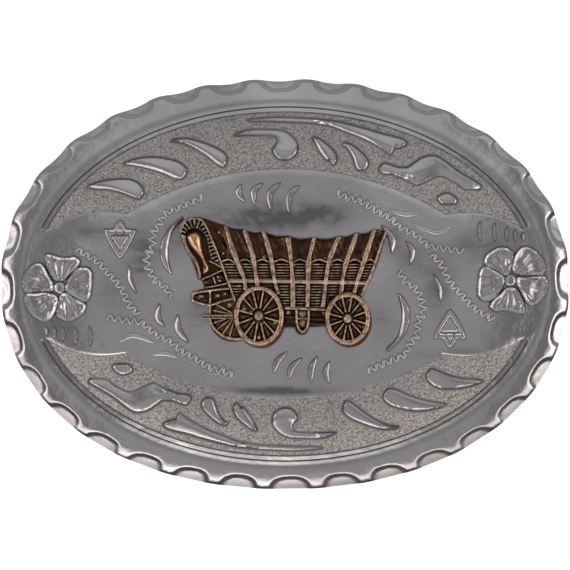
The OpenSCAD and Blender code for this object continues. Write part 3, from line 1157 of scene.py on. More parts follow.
    def build(self, finish: bpy.types.Material, back: bpy.types.Material) -> bpy.types.Object:
        """Spins the section into the plate, then shapes each row of it.

        Args:
            finish: the face's metal.
            back: the duller metal of the underside.

        Returns:
            The plate.
        """
        rows = [(part, share) for part, shares in SECTION_ROWS.items() for share in shares]
        steps = self.scoops * self.steps_per_scoop
        bm = bmesh.new()
        section = [bm.verts.new((k + 1.0, 0, k)) for k in range(len(rows))]
        for a, b in zip(section, section[1:]):
            bm.edges.new((a, b))
        bmesh.ops.spin(bm, geom=bm.verts[:] + bm.edges[:], cent=(0, 0, 0), axis=(0, 0, 1),
                       angle=2 * math.pi, steps=steps, use_merge=True, use_duplicate=False)
        mark = bm.verts.layers.float.new("dark")
        verts = list(bm.verts)
        row = np.array([round(v.co.z) for v in verts])
        spun = np.array([math.atan2(v.co.y, v.co.x) for v in verts])
        step = np.round(spun / (2 * math.pi) * steps) % steps
        even = 2 * math.pi * step / steps
        even = even + math.radians(self.arc_evenness) * np.sin(2 * even)
        c, s = np.cos(even), np.sin(even)
        power = 2 / self.form.edge_power
        ex = self.form.half_length * np.sign(c) * np.abs(c) ** power
        ey = self.form.half_width * np.sign(s) * np.abs(s) ** power
        turn = np.arctan2(ey, ex)
        for k, (part, share) in enumerate(rows):
            here = np.nonzero(row == k)[0]
            radius, height = self._place(part, share, turn[here], step[here])
            dark = self._row_darkness(part, share, turn[here], step[here])
            # The field takes painted dark reflections instead of antiquing.
            if part is Section.FIELD:
                dark = self._painted_reflection(radius * np.cos(turn[here]), radius * np.sin(turn[here]))
            for i, r, z, d in zip(here, radius, height, dark):
                verts[i].co = (r * math.cos(turn[i]), r * math.sin(turn[i]), z)
                verts[i][mark] = d
        bmesh.ops.remove_doubles(bm, verts=bm.verts, dist=1e-4)
        bmesh.ops.recalc_face_normals(bm, faces=bm.faces)
        antiquing_and_shade = np.array([v[mark] for v in bm.verts])
        bm.verts.layers.float.remove(mark)
        plate = finish_piece("struck_plate", bm, finish, replaced=("face_plate",),
                             crease=32, antiquing_and_shade=antiquing_and_shade)
        plate.data.materials.append(back)
        for face in plate.data.polygons:
            if face.normal.z < -0.3:
                face.material_index = 1
        return plate

    def _painted_reflection(self, x: Floats, y: Floats) -> Floats:
        """Says how dark the painted reflections are on the polished field: cloudy dark blotches where it
        mirrors the room.

        Args:
            x: places along the plate.
            y: places across the plate.

        Returns:
            A darkness for each place.
        """
        dark = np.zeros_like(x)
        for at_x, at_y, wide, tall, depth in self.painted_reflections:
            dark = dark + depth * np.exp(-(((x - at_x) / wide) ** 2 + ((y - at_y) / tall) ** 2))
        cloud = np.array([noise.noise((a * 0.3, b * 0.7, 2.0)) + 0.5 * noise.noise((a * 0.9, b * 1.6, 5.0))
                          for a, b in zip(x, y)])
        return np.clip(dark * self.reflection_strength * (1 + 0.8 * cloud), 0, self.reflection_most)

    def _lower_scoop_shade(self, turn: Floats, step: Floats) -> Floats:
        """Says how dark the painted shade in the scoops is: darker towards the lower edge, where the scoops
        turn from the light.
        """
        return self.lower_scoop_shade_depth * np.clip(-1.2 * np.sin(turn), 0, 1) * self._scoop(step, np.zeros_like(step))

    def _row_darkness(self, part: Section, share: float, turn: Floats, step: Floats) -> Floats:
        """Says how dark one row is: antiquing in the groove and at the foot of the band's outer wall,
        painted shade along the rim's cove and on the lower scoops.

        Args:
            part: the part of the section that the row is on.
            share: how far along that part it lies.
            turn: the direction of each point.
            step: the same, counted along the edge.

        Returns:
            A darkness for each point.
        """
        shown = self._beside_band(turn)
        if part is Section.GROOVE:
            return shown * max(0.0, 1 - abs(share - 0.35) / 0.5)
        if part is Section.RISE and share < 0.5:
            return shown * self.rise_dark
        if part is Section.RIM:
            # Painted shade: the scoops darken towards the lower edge.
            bowl = self._lower_scoop_shade(turn, step) * min(max((share - 0.6) / 0.3, 0.0), 1.0)
            # Painted shade: a dark line follows the rim's shallow cove.
            return bowl + self.cove_painted_shade * math.exp(-((share - self.cove_shade_at) / self.cove_shade_width) ** 2)
        if part is Section.LIP:
            return self._lower_scoop_shade(turn, step)
        return np.zeros_like(turn)


@dataclass
class StippledGround:
    """The pebbled floor of the sunk bands, punched all over with a round matting tool."""

    form: PlateForm
    bands: BandShape
    pitch: float = 0.145
    pebble: float = 0.4
    pebble_height: float = 0.1
    lift: float = 0.03
    half_height: float = 10.5
    middle_y: float = 18.2
    seed: int = 7

    def _pebbles(self, xy: Floats) -> Floats:
        """Gives the height of the punched pebbles.

        Args:
            xy: plan points, one a row.

        Returns:
            A height for each point.
        """
        rng = np.random.default_rng(self.seed)
        size = 256
        jitter = rng.uniform(0.12, 0.88, (size, size, 2))
        cell = np.floor(xy / self.pebble).astype(int)
        nearest = np.full(len(xy), FAR)
        for dx in (-1, 0, 1):
            for dy in (-1, 0, 1):
                at = cell + (dx, dy)
                seedling = (at + jitter[at[:, 0] % size, at[:, 1] % size]) * self.pebble
                nearest = np.minimum(nearest, np.hypot(*(xy - seedling).T))
        return self.pebble_height * (1 - np.clip(nearest / (self.pebble * 0.62), 0, 1) ** 2)

    def build(self, finish: bpy.types.Material) -> bpy.types.Object:
        """Drapes a fine grid over both bands.

        Args:
            finish: the matted metal.

        Returns:
            The ground of both bands.
        """
        outline = self.bands.outline()
        bm = bmesh.new()
        wide, tall = self.bands.outer_length, self.half_height
        columns, lines = int(2 * wide / self.pitch), int(2 * tall / self.pitch)
        bmesh.ops.create_grid(bm, x_segments=columns, y_segments=lines, size=1.0)
        bmesh.ops.scale(bm, vec=(wide, tall, 1), verts=bm.verts)
        bmesh.ops.translate(bm, vec=(0, self.middle_y, 0), verts=bm.verts)
        verts = list(bm.verts)
        xy = np.array([v.co.xy for v in verts])
        away, _ = along_path(xy, outline, True)
        keep = is_inside(xy, outline) | (away < 0.1)
        bmesh.ops.delete(bm, geom=[v for v, k in zip(verts, keep) if not k], context="VERTS")
        with_twin(bm)
        verts = list(bm.verts)
        xy = np.array([v.co.xy for v in verts])
        pebbles = self._pebbles(xy)
        z = self.form.surface(xy[:, 0], xy[:, 1]) - self.bands.depth + self.lift + pebbles
        for v, height in zip(verts, z):
            v.co.z = height
        bmesh.ops.recalc_face_normals(bm, faces=bm.faces)
        if sum(f.normal.z for f in list(bm.faces)[:200]) < 0:
            bmesh.ops.reverse_faces(bm, faces=bm.faces)
        dark = 0.5 * np.clip(1.0 - 1.5 * pebbles / self.pebble_height, 0, 1)
        # Along each leaf's outline the ground darkens: patina at the leaf's foot and painted shade beside
        # its wall.
        for leaf in LEAVES:
            edge = smooth(leaf.outline, True, 3)
            near = np.minimum(along_path(xy, edge, True)[0], along_path(-xy, edge, True)[0])
            dark = np.maximum(dark, 0.95 * np.exp(-(near / 0.26) ** 2))
        return finish_piece("stippled_ground", bm, finish, crease=75, antiquing_and_shade=dark)


# ---------- struck artwork


def with_twin(bm: bmesh.types.BMesh) -> None:
    """Adds a copy turned half round, because the die repeats its artwork that way."""
    other = bm.copy()
    bmesh.ops.rotate(other, cent=(0, 0, 0), matrix=Matrix.Rotation(math.pi, 3, "Z"), verts=other.verts)
    absorb(bm, other)


def ridge(bm: bmesh.types.BMesh, ground: Ground, points: Sequence[Point], half_width: float, rise: float,
          ends: tuple[float, float] = (0.35, 0.35), steps: int = 5, closed: bool = False,
          wave: Callable[[float], float] | None = None, flank_shade: float = 0.3) -> None:
    """Adds a struck ridge that follows the face.

    Args:
        bm: the mesh that takes it.
        ground: the height that it stands on.
        points: the ridge's line.
        half_width: half its width.
        rise: its height.
        ends: its size at its two ends, as a share.
        steps: straight pieces between two points.
        closed: whether the line returns to its start.
        wave: a size along the line, as a share.
        flank_shade: how dark the painted shade on its flanks is.
    """
    line = smooth(points, closed, steps)
    path = [Vector((p.x, p.y, ground(p.x, p.y))) for p in line]
    Bead(path, half_width, rise, ends=ends, closed=closed, wave=wave, flank_shade=flank_shade).build(bm)


def swelling(t: float) -> float:
    """Gives the size of a stroke that is widest at its middle."""
    return 0.3 + 0.7 * math.sin(math.pi * min(max(t, 0.0), 1.0)) ** 0.8


@dataclass(frozen=True)
class Leaf:
    """One struck leaf or scroll: its outline, and the creases pressed into it."""

    outline: tuple[Point, ...]
    creases: tuple[tuple[Point, ...], ...] = ()
    rise: float = 0.5
    crown: float = 0.9


LEAVES = (
    Leaf(((-18.4, 22.95), (-17.7, 23.4), (-15.9, 23.5), (-14.1, 23.1), (-12.1, 22.4), (-10.3, 21.5),
          (-9.3, 20.5), (-9.4, 19.5), (-9.9, 18.7), (-11.05, 19.3), (-12.6, 20.5), (-14.1, 21.5),
          (-15.6, 22.3), (-17.2, 22.8)),
         (((-18.2, 22.9), (-15.4, 22.4), (-13.1, 21.2), (-11.3, 20), (-10.3, 19.2)),)),
    Leaf(((-26.1, 19.4), (-24.8, 20), (-23, 20.4), (-21, 20.5), (-19, 20.2), (-17.2, 19.7), (-15.9, 18.7),
          (-15.8, 17.9), (-16.5, 16.9), (-17.7, 16.9), (-19.5, 17.7), (-21.5, 18.4), (-23.6, 18.9),
          (-25.6, 19.2)),
         (((-25.8, 19.5), (-23.8, 19.4), (-21.5, 18.95), (-19.2, 18.05), (-17.4, 17.2)),)),
    Leaf(((-32, 15.6), (-31.2, 16.1), (-29.4, 16.65), (-27.1, 16.95), (-25.1, 16.9), (-23.8, 16.4),
          (-22.9, 15.5), (-22.7, 14.6), (-23.2, 13.85), (-23.8, 13.6), (-24.8, 14), (-26.6, 14.7),
          (-28.65, 15.2), (-30.7, 15.3)),
         (((-31.7, 15.6), (-29.7, 15.6), (-27.6, 15.25), (-25.85, 14.6), (-24.3, 14)),)),
    Leaf(((-8.3, 23.9), (-6, 24.85), (-2.7, 24.9), (-1, 24.8), (0.3, 24.4), (1.3, 23.6), (2.05, 22.55),
          (2.05, 21.55), (1.6, 20.6), (0.6, 20), (-0.5, 19.9), (-1.45, 20.4), (-1.95, 21.2), (-1.95, 21.9),
          (-1.35, 22.6), (-1.2, 23.2), (-1.85, 23.8), (-3.5, 23.9), (-6, 23.9)),
         (((1.6, 22.1), (0.9, 21.75), (0.1, 21.65), (-0.8, 21.75), (-1.5, 22.1)),), crown=1.3),
    Leaf(((4.5, 23.1), (4.6, 23.7), (5.6, 23.4), (6.9, 22.4), (7.9, 21.4), (8.4, 20.2), (8, 19.2),
          (7.6, 19.2), (7.1, 19.9), (6.8, 19.7), (5.6, 21.2), (4.8, 22.7)),
         (((4.8, 23), (5.9, 21.6), (6.9, 19.9)),), rise=0.48, crown=0.7),
    Leaf(((9.25, 22.3), (9.5, 22.8), (10.6, 22.55), (11.9, 21.6), (13.1, 20.4), (13.5, 19.4), (13.1, 18.5),
          (12.4, 18.25), (11.6, 18.4), (11.2, 19.2), (10.75, 20.6), (9.9, 21.9)),
         (((9.9, 22.1), (10.9, 20.9), (11.4, 19.4), (11.9, 18.4)),), rise=0.48, crown=0.7),
    Leaf(((-6, 26.5), (-2.7, 26.85), (0.6, 26.85), (3.95, 26.7), (7.3, 26.4), (9.9, 25.9), (13.1, 25.05),
          (15.6, 24.3), (17.7, 23.8), (19.2, 23.3), (19.7, 22.6), (18.9, 22), (17.6, 21.7), (17.1, 20.75),
          (16.7, 20.9), (15.6, 21.7), (13.6, 22.9), (11.6, 23.8), (9.6, 24.55), (7.3, 25.4), (3.95, 25.9),
          (0.6, 26.05), (-2.7, 26.2), (-5.2, 26.2)),
         (((7.3, 25.6), (10.6, 24.6), (13.9, 23.2), (16.9, 22.05)),)),
    Leaf(((15.1, 18.1), (15.4, 19.1), (16.2, 19.5), (18, 18.9), (19.6, 18.8), (20.7, 19.5), (22.1, 20.4),
          (23.7, 20.8), (24.8, 20.5), (26, 19.7), (27.8, 18.3), (29.6, 17.2), (30.9, 16.5), (31.7, 15.9),
          (31.4, 15.25), (30.3, 15.25), (28.7, 15.4), (27.5, 16.3), (26.2, 17), (25.1, 17.4), (23.9, 17.1),
          (22.5, 16.4), (21.2, 15.9), (20.7, 16.1), (19.8, 16.6), (18.5, 17.1), (17.2, 17.6), (15.9, 17.7)),
         (((21.2, 17.75), (22.3, 18.1), (23.9, 18.7), (25.1, 18.7), (26.2, 18.2), (28, 17), (29.8, 16.1)),
          ((19.1, 17.6), (20.7, 17)))),
    Leaf(((24.5, 14), (25.9, 14.7), (27.1, 14.3), (27.8, 13.5), (27.5, 12.9), (26.2, 12.8), (25.1, 12.9)),
         (), rise=0.42, crown=0.5),
)


@dataclass
class Foliage:
    """The leaves and scrolls that stand in the sunk bands."""

    form: PlateForm
    bands: BandShape
    pitch: float = 0.26

    def build(self, finish: bpy.types.Material) -> bpy.types.Object:
        """Strikes every leaf of one band, and its twins in the other.

        Args:
            finish: the polished metal.

        Returns:
            All the leaves as one piece.
        """
        bm = bmesh.new()

        def floor(x: float, y: float) -> float:
            """Gives the height of the band's floor."""
            return self.form.at(x, y) - self.bands.depth

        for leaf in LEAVES:
            creases = [smooth(c, steps=4) for c in leaf.creases]
            Patch(smooth(leaf.outline, True, 4), floor, rise=leaf.rise, wall=0.2, crown=leaf.crown,
                  pitch=self.pitch, grooves=creases[1:], groove_depth=0.2, groove_width=0.16,
                  keel=creases[0] if creases else []).build(bm)
        with_twin(bm)
        return finish_piece("band_foliage", bm, finish, crease=40)


PETALS = (
    ((-38.6, 4.4), (-38.35, 4.8), (-37.6, 4.8), (-36.4, 4.45), (-35.1, 4.35), (-33.95, 4.45), (-33.2, 3.9),
     (-33.1, 3.4), (-33.75, 2.4), (-34.7, 1.6), (-35.7, 0.7), (-37, 0.7), (-37.6, 1.4), (-38.35, 3)),
    ((-38.9, 2.8), (-39.7, 3.3), (-40.6, 3.1), (-41.6, 2.2), (-42.2, 1.1), (-42.4, 0), (-42.1, -1),
     (-41.4, -1.35), (-40.3, -1.2), (-38.7, -1.1), (-37.6, -1.1), (-37.4, 0), (-38.1, 1.3)),
    ((-41.4, -1.5), (-41.9, -2.2), (-41.9, -3.1), (-41.4, -4.3), (-40.45, -5.3), (-39.3, -5.9),
     (-38.2, -5.8), (-37.4, -5), (-36.9, -3.9), (-36.7, -2.4), (-37.3, -1.7), (-38.7, -1.4), (-40.3, -1.5)),
    ((-36.7, -4.3), (-36.6, -5.2), (-35.7, -5.8), (-34.5, -5.9), (-33.4, -5.4), (-32.4, -4.6),
     (-32.1, -3.5), (-32.6, -2.9), (-33.9, -2.3), (-35.2, -1.5), (-36.2, -1.9)),
    ((-33.75, 2.2), (-33, 2.6), (-32, 2.6), (-31.3, 2.15), (-31, 1.3), (-31.1, -0.25), (-31.3, -1.8),
     (-31.85, -2.6), (-32.6, -2.7), (-33.75, -2.1), (-35.2, -1.1), (-35.1, 0.3), (-34.4, 1.4)),
)


@dataclass
class Rosettes:
    """The two five-petalled flowers at the ends of the face, with the short ticks beside them."""

    form: PlateForm
    centre: Point = (-36.3, -0.6)
    boss: float = 1.05
    bead_ring: float = 0.62
    bead_lift: float = 0.3
    spread: float = 1.11

    def _cup(self) -> Callable[[Floats, Floats], Floats]:
        """Makes the relief of a petal.

        Returns:
            A height with a curled rim, a hollow cup and veins that fan from the boss.
        """
        centre = np.array(self.centre)

        def height(xy: Floats, gap: Floats) -> Floats:
            """Gives the added height of each point from its place and its distance from the rim."""
            away = np.hypot(*(xy - centre).T)
            turn = np.arctan2(*(xy - centre).T[::-1])
            dish = np.clip((gap - 0.3) / 0.35, 0, 1)
            veins = 0.03 * np.sin(turn * 22 + away) * np.clip((away - 1.2) / 0.8, 0, 1) * dish
            fold = 0.1 * np.exp(-((gap - 0.85) / 0.13) ** 2)
            centre_rise = 0.14 * np.exp(-((away - 3.3) / 0.7) ** 2) * np.clip((gap - 1.0) / 0.3, 0, 1)
            return -0.27 * dish ** 1.3 + veins + fold + centre_rise

        return height

    def _veins(self, outline: Sequence[Vector]) -> list[list[Vector]]:
        """Draws three dark veins that run from the boss towards a petal's rim.

        Args:
            outline: the petal's outline.

        Returns:
            Each vein's two ends.
        """
        centre = Vector(self.centre)
        reach = (middle_of(outline) - centre) * 1.35
        veins = []
        for turn, far in ((-0.3, 0.8), (0.02, 1), (0.32, 0.85)):
            near_end = centre + Matrix.Rotation(turn, 2) @ (reach * 0.3)
            veins.append([near_end, centre + Matrix.Rotation(turn * 1.1, 2) @ (reach * far)])
        return veins

    def build(self, finish: bpy.types.Material) -> bpy.types.Object:
        """Strikes one flower and its ticks, and their twins at the other end.

        Args:
            finish: the polished metal.

        Returns:
            Both flowers as one piece.
        """
        bm = bmesh.new()
        for petal in PETALS:
            plain = smooth(petal, True, 4)
            middle = middle_of(plain)
            outline = [middle + (p - middle) * self.spread for p in plain]
            Patch(outline, self.form.at, rise=0.46, wall=0.18, crown=0.35, pitch=0.2,
                  grooves=self._veins(outline), groove_depth=0.1, groove_width=0.13, outline_width=0.24,
                  relief=self._cup()).build(bm)
        ring = oval(self.centre, (self.boss, self.boss), 14)
        Patch(ring, self.form.at, rise=0.42, wall=0.12, crown=0.8, pitch=0.25).build(bm)
        for k in range(8):
            turn = math.radians(45 * k + 12)
            x = self.centre[0] + self.bead_ring * math.cos(turn)
            y = self.centre[1] + self.bead_ring * math.sin(turn)
            ridge(bm, lambda u, v: self.form.at(u, v) + self.bead_lift, ((x - 0.1, y), (x + 0.1, y)), 0.14,
                  0.12, ends=(1, 1), steps=2)
        for x, low in ((-38.5, -8.5), (-37.2, -8.9), (-35.8, -9.3), (-33.8, -9.9), (-31.4, -10.1)):
            tick = lens(((x - 0.1, -6.8), (x + 0.1, (low - 6.8) / 2), (x, low)), 0.4)
            Patch(tick, self.form.at, rise=0.3, wall=0.1, crown=0.3, pitch=0.2, outline_dark=0.9,
                  outline_width=0.2).build(bm)
        with_twin(bm)
        return finish_piece("end_rosettes", bm, finish, crease=42)


def zigzag(points: Sequence[Point], amplitude: float, pitch: float) -> tuple[Point, ...]:
    """Turns a line into a wriggle line.

    Args:
        points: the line that it follows.
        amplitude: how far it swings to each side.
        pitch: the length of one swing to and fro.

    Returns:
        The corners of the wriggle line.
    """
    line = smooth(points, steps=8)
    run = [0.0]
    for a, b in zip(line, line[1:]):
        run.append(run[-1] + (b - a).length)
    count = max(3, int(run[-1] / pitch * 2))
    xs = np.interp(np.linspace(0, run[-1], count + 1), run, [p.x for p in line])
    ys = np.interp(np.linspace(0, run[-1], count + 1), run, [p.y for p in line])
    found = []
    for k in range(count + 1):
        a, b = max(k - 1, 0), min(k + 1, count)
        side = Vector((-(ys[b] - ys[a]), xs[b] - xs[a])).normalized() * (amplitude if k % 2 else -amplitude)
        found.append((xs[k] + side.x, ys[k] + side.y))
    return tuple(found)


@dataclass
class FieldMarks:
    """The small struck marks around the wagon: ticks, wriggle lines, shields, leaves and dashes."""

    form: PlateForm
    swing: float = 0.46
    pitch: float = 1.25

    def _ticks(self, bm: bmesh.types.BMesh) -> None:
        """Adds the crescents above and below the wagon.

        Args:
            bm: the mesh that takes them.
        """
        for line in (((-7, 16.1), (-7.5, 14.7), (-6.5, 13.1)),
                     ((-3.5, 16.25), (-5, 14.9), (-4.85, 12.6)),
                     ((-0.7, 16.3), (-2.4, 14.6), (-2.35, 11.8)),
                     ((2.45, 15.85), (0.75, 14.3), (0.55, 11.3)),
                     ((-1.8, -14.4), (-1.3, -12.6), (0.35, -10.9)),
                     ((0.7, -15.3), (1.1, -13.4), (2.75, -11.9)),
                     ((4.25, -15.8), (4.3, -13.6), (5.2, -11.6)),
                     ((7.15, -16), (6.6, -14.2), (7.2, -12.4))):
            Patch(lens(line, 0.56), self.form.at, rise=0.42, wall=0.14, crown=0.45, pitch=0.18,
                  keel=smooth(line, steps=5), keel_shift=0.3).build(bm)

    def _wriggles(self, bm: bmesh.types.BMesh) -> None:
        """Adds the wriggle lines of one side.

        Args:
            bm: the mesh that takes them.
        """
        for line in (((-33.6, 5.7), (-31.8, 4.7), (-30.1, 3.6), (-28.4, 1.7), (-27.25, 0.5), (-26.1, -1),
                      (-25.5, -2.5), (-24.6, -3.9), (-23.4, -4.8)),
                     ((-28.7, -5.3), (-25, -5.9), (-23, -6.2), (-21.1, -7.9), (-18.45, -9.2),
                      (-17.3, -10.4)),
                     ((-13.3, 14), (-16.9, 12.3), (-19.2, 11.4), (-20.2, 9.5), (-21.3, 8.2), (-21.3, 5.7),
                      (-22.3, 4.8), (-22.2, 3.2), (-21.5, 1.5), (-20.7, 0.3), (-19.4, -0.3),
                      (-18.3, -2.1))):
            ridge(bm, self.form.at, zigzag(line, self.swing, self.pitch), 0.27, 0.3, ends=(1, 1), steps=3,
                  flank_shade=0.75)
        teeth = ((-17.3, -10.4), (-16.2, -11), (-14.2, -12.1), (-12, -13.5), (-10, -13.9), (-8.4, -14.7))
        ridge(bm, self.form.at, zigzag(teeth, 0.5, 1.2), 0.27, 0.3, ends=(1, 1), steps=3, flank_shade=0.75)
        ridge(bm, self.form.at, [(x - 0.3, y - 0.75) for x, y in teeth], 0.22, 0.22, ends=(0.5, 0.5),
              flank_shade=0.6)

    def _shield(self, bm: bmesh.types.BMesh) -> None:
        """Adds the small crowned shield of one side.

        Args:
            bm: the mesh that takes it.
        """
        body = smooth(((-29.1, 8.9), (-28.9, 7.6), (-28.2, 6.2), (-27.4, 4.9), (-26.55, 4), (-25.7, 4.9),
                       (-24.9, 6.3), (-24.2, 7.7), (-23.9, 8.85), (-25.3, 8.9), (-25.9, 9.9),
                       (-26.55, 10.35), (-27.2, 9.9), (-27.8, 8.95)), True, 4)
        triangle = straight(((-28.15, 7.75), (-26.55, 5.2), (-24.95, 7.75)))
        crown = straight(((-28.3, 8.3), (-24.7, 8.3)))
        star = straight(((-27.2, 8.3), (-26.55, 9.5), (-25.9, 8.3)))
        Patch(body, self.form.at, rise=0.42, wall=0.2, crown=0.5, pitch=0.2,
              grooves=[triangle + [triangle[0]], crown, star], groove_depth=0.3,
              groove_width=0.14).build(bm)

    def _leaves(self, bm: bmesh.types.BMesh) -> None:
        """Adds the crescent leaf, the small leaves and the dashes of one side.

        Args:
            bm: the mesh that takes them.
        """
        crescent = smooth(((-16.7, 10.85), (-18.6, 9.1), (-19.8, 7.2), (-20.2, 5.3), (-19.9, 3.6),
                           (-19, 2.05), (-18.1, 1.5), (-18.45, 3), (-18.7, 4.7), (-18.6, 6.45),
                           (-17.9, 8.6), (-16.3, 10.3)),
                          True, 4)
        Patch(crescent, self.form.at, rise=0.45, wall=0.16, crown=0.6, pitch=0.2,
              keel=smooth(((-18.6, 2.2), (-19.4, 5.4), (-18.7, 8.4), (-16.6, 10.5)), steps=4),
              keel_shift=0.05).build(bm)
        for line, half in ((((-25.1, 3), (-24.9, 0.6), (-23.9, -1.6)), 0.45),
                           (((-20.2, -3.1), (-20.5, -5.4), (-19.4, -6.9)), 0.55),
                           (((-17.2, -4.9), (-17.2, -7.3), (-15.5, -9.5)), 0.6)):
            Patch(lens(line, half), self.form.at, rise=0.4, wall=0.14, crown=0.45, pitch=0.18,
                  keel=smooth(line), keel_shift=0.12).build(bm)
        for line in (((-26.5, -9.2), (-24.4, -8.3), (-21.1, -9.4)),
                     ((-21.3, -11.3), (-19.3, -11.2), (-17.3, -11.7))):
            ridge(bm, self.form.at, line, 0.42, 0.28, ends=(1, 1), wave=swelling)

    def build(self, finish: bpy.types.Material) -> bpy.types.Object:
        """Strikes the marks of one half, their twins, and the ticks of both.

        Args:
            finish: the polished metal.

        Returns:
            All the marks as one piece.
        """
        bm = bmesh.new()
        self._wriggles(bm)
        self._shield(bm)
        self._leaves(bm)
        with_twin(bm)
        self._ticks(bm)
        return finish_piece("field_marks", bm, finish, crease=42)


# ---------- the cast wagon


BOWS = (
    ((-9.6, 9.3), (-8.9, 7), (-7.9, 4.2), (-7.1, 2.2), (-6.6, 0.9), (-6.3, -0.9)),
    ((-6.5, 8.6), (-5.6, 6), (-5.05, 4), (-4.7, 1.6), (-4.4, -0.4)),
    ((-3.5, 8.5), (-2.8, 6.3), (-2.2, 4), (-1.75, 1), (-1.1, -1.6)),
    ((0.45, 7.5), (0.75, 5.5), (1, 3.6), (1.2, 0.5), (1.3, -3.7)),
    ((4.7, 7.4), (4.2, 5.4), (3.8, 3.6), (3.7, 0.5), (3.6, -3.7)),
    ((8.7, 7.6), (7.7, 5.4), (7.05, 3.6), (6.6, 0.9), (6.1, -3.7)),
    ((11.5, 8.1), (10.6, 5.6), (9.8, 3.4), (9.3, 1), (9, -1.6)),
    ((14.4, 8.7), (13.5, 6.3), (12.6, 3.4), (11.8, 1), (11.1, -1.4)),
)
COVER_TOP = ((-13.2, 10.25), (-11.6, 9.75), (-10, 9.55), (-9.2, 9.2), (-8.1, 8.9), (-7, 8.85), (-6.2, 8.6),
             (-4.9, 8.15), (-3.6, 8.4), (-2.9, 7.9), (-1.5, 7.45), (0.1, 7.6), (1.1, 7.2), (2.4, 6.85),
             (3.7, 7.2), (4.6, 7.5), (5.4, 7.2), (6.6, 6.95), (7.7, 7.4), (8.7, 7.75), (9.8, 7.65),
             (10.9, 8), (11.7, 8.25), (12.8, 8), (13.6, 8.4), (14.4, 8.8), (15.3, 8.45), (16.3, 8.6))
NODULES = ((-10.6, 8.3, 0.55, 0.17), (15.1, 8.3, 0.5, 0.24), (12.2, 7.2, 0.5, 0.2), (14.2, 6.1, 0.65, 0.18),
           (-3.3, 4.3, 1.15, 0.24), (1.5, 3.05, 0.95, 0.2), (7.4, 3.1, 0.95, 0.2), (-4.9, -3.95, 1.3, 0.19),
           (-4.0, -3.75, 1.3, 0.17), (-5.5, -4.6, 1.3, 0.28), (-5.6, -5.6, 1.3, 0.24),
           (-3.6, -6.3, 1.3, 0.2), (-1.6, -6.2, 1.35, 0.3), (-1.1, -4.0, 1.35, 0.22),
           (-6.6, -4.1, 1.35, 0.3), (-4.2, -8.6, 1.55, 0.25), (12.1, -3.2, 1.4, 0.22),
           (10.4, -2.6, 1.45, 0.18), (6.2, -4.7, 0.55, 0.22), (12.5, -6.9, 1.35, 0.2),
           (0.5, -4.6, 0.5, 0.3), (-8.9, -3.4, 0.7, 0.3), (-9.9, 4.9, 1.2, 0.18), (-1.9, 6.0, 0.6, 0.16))


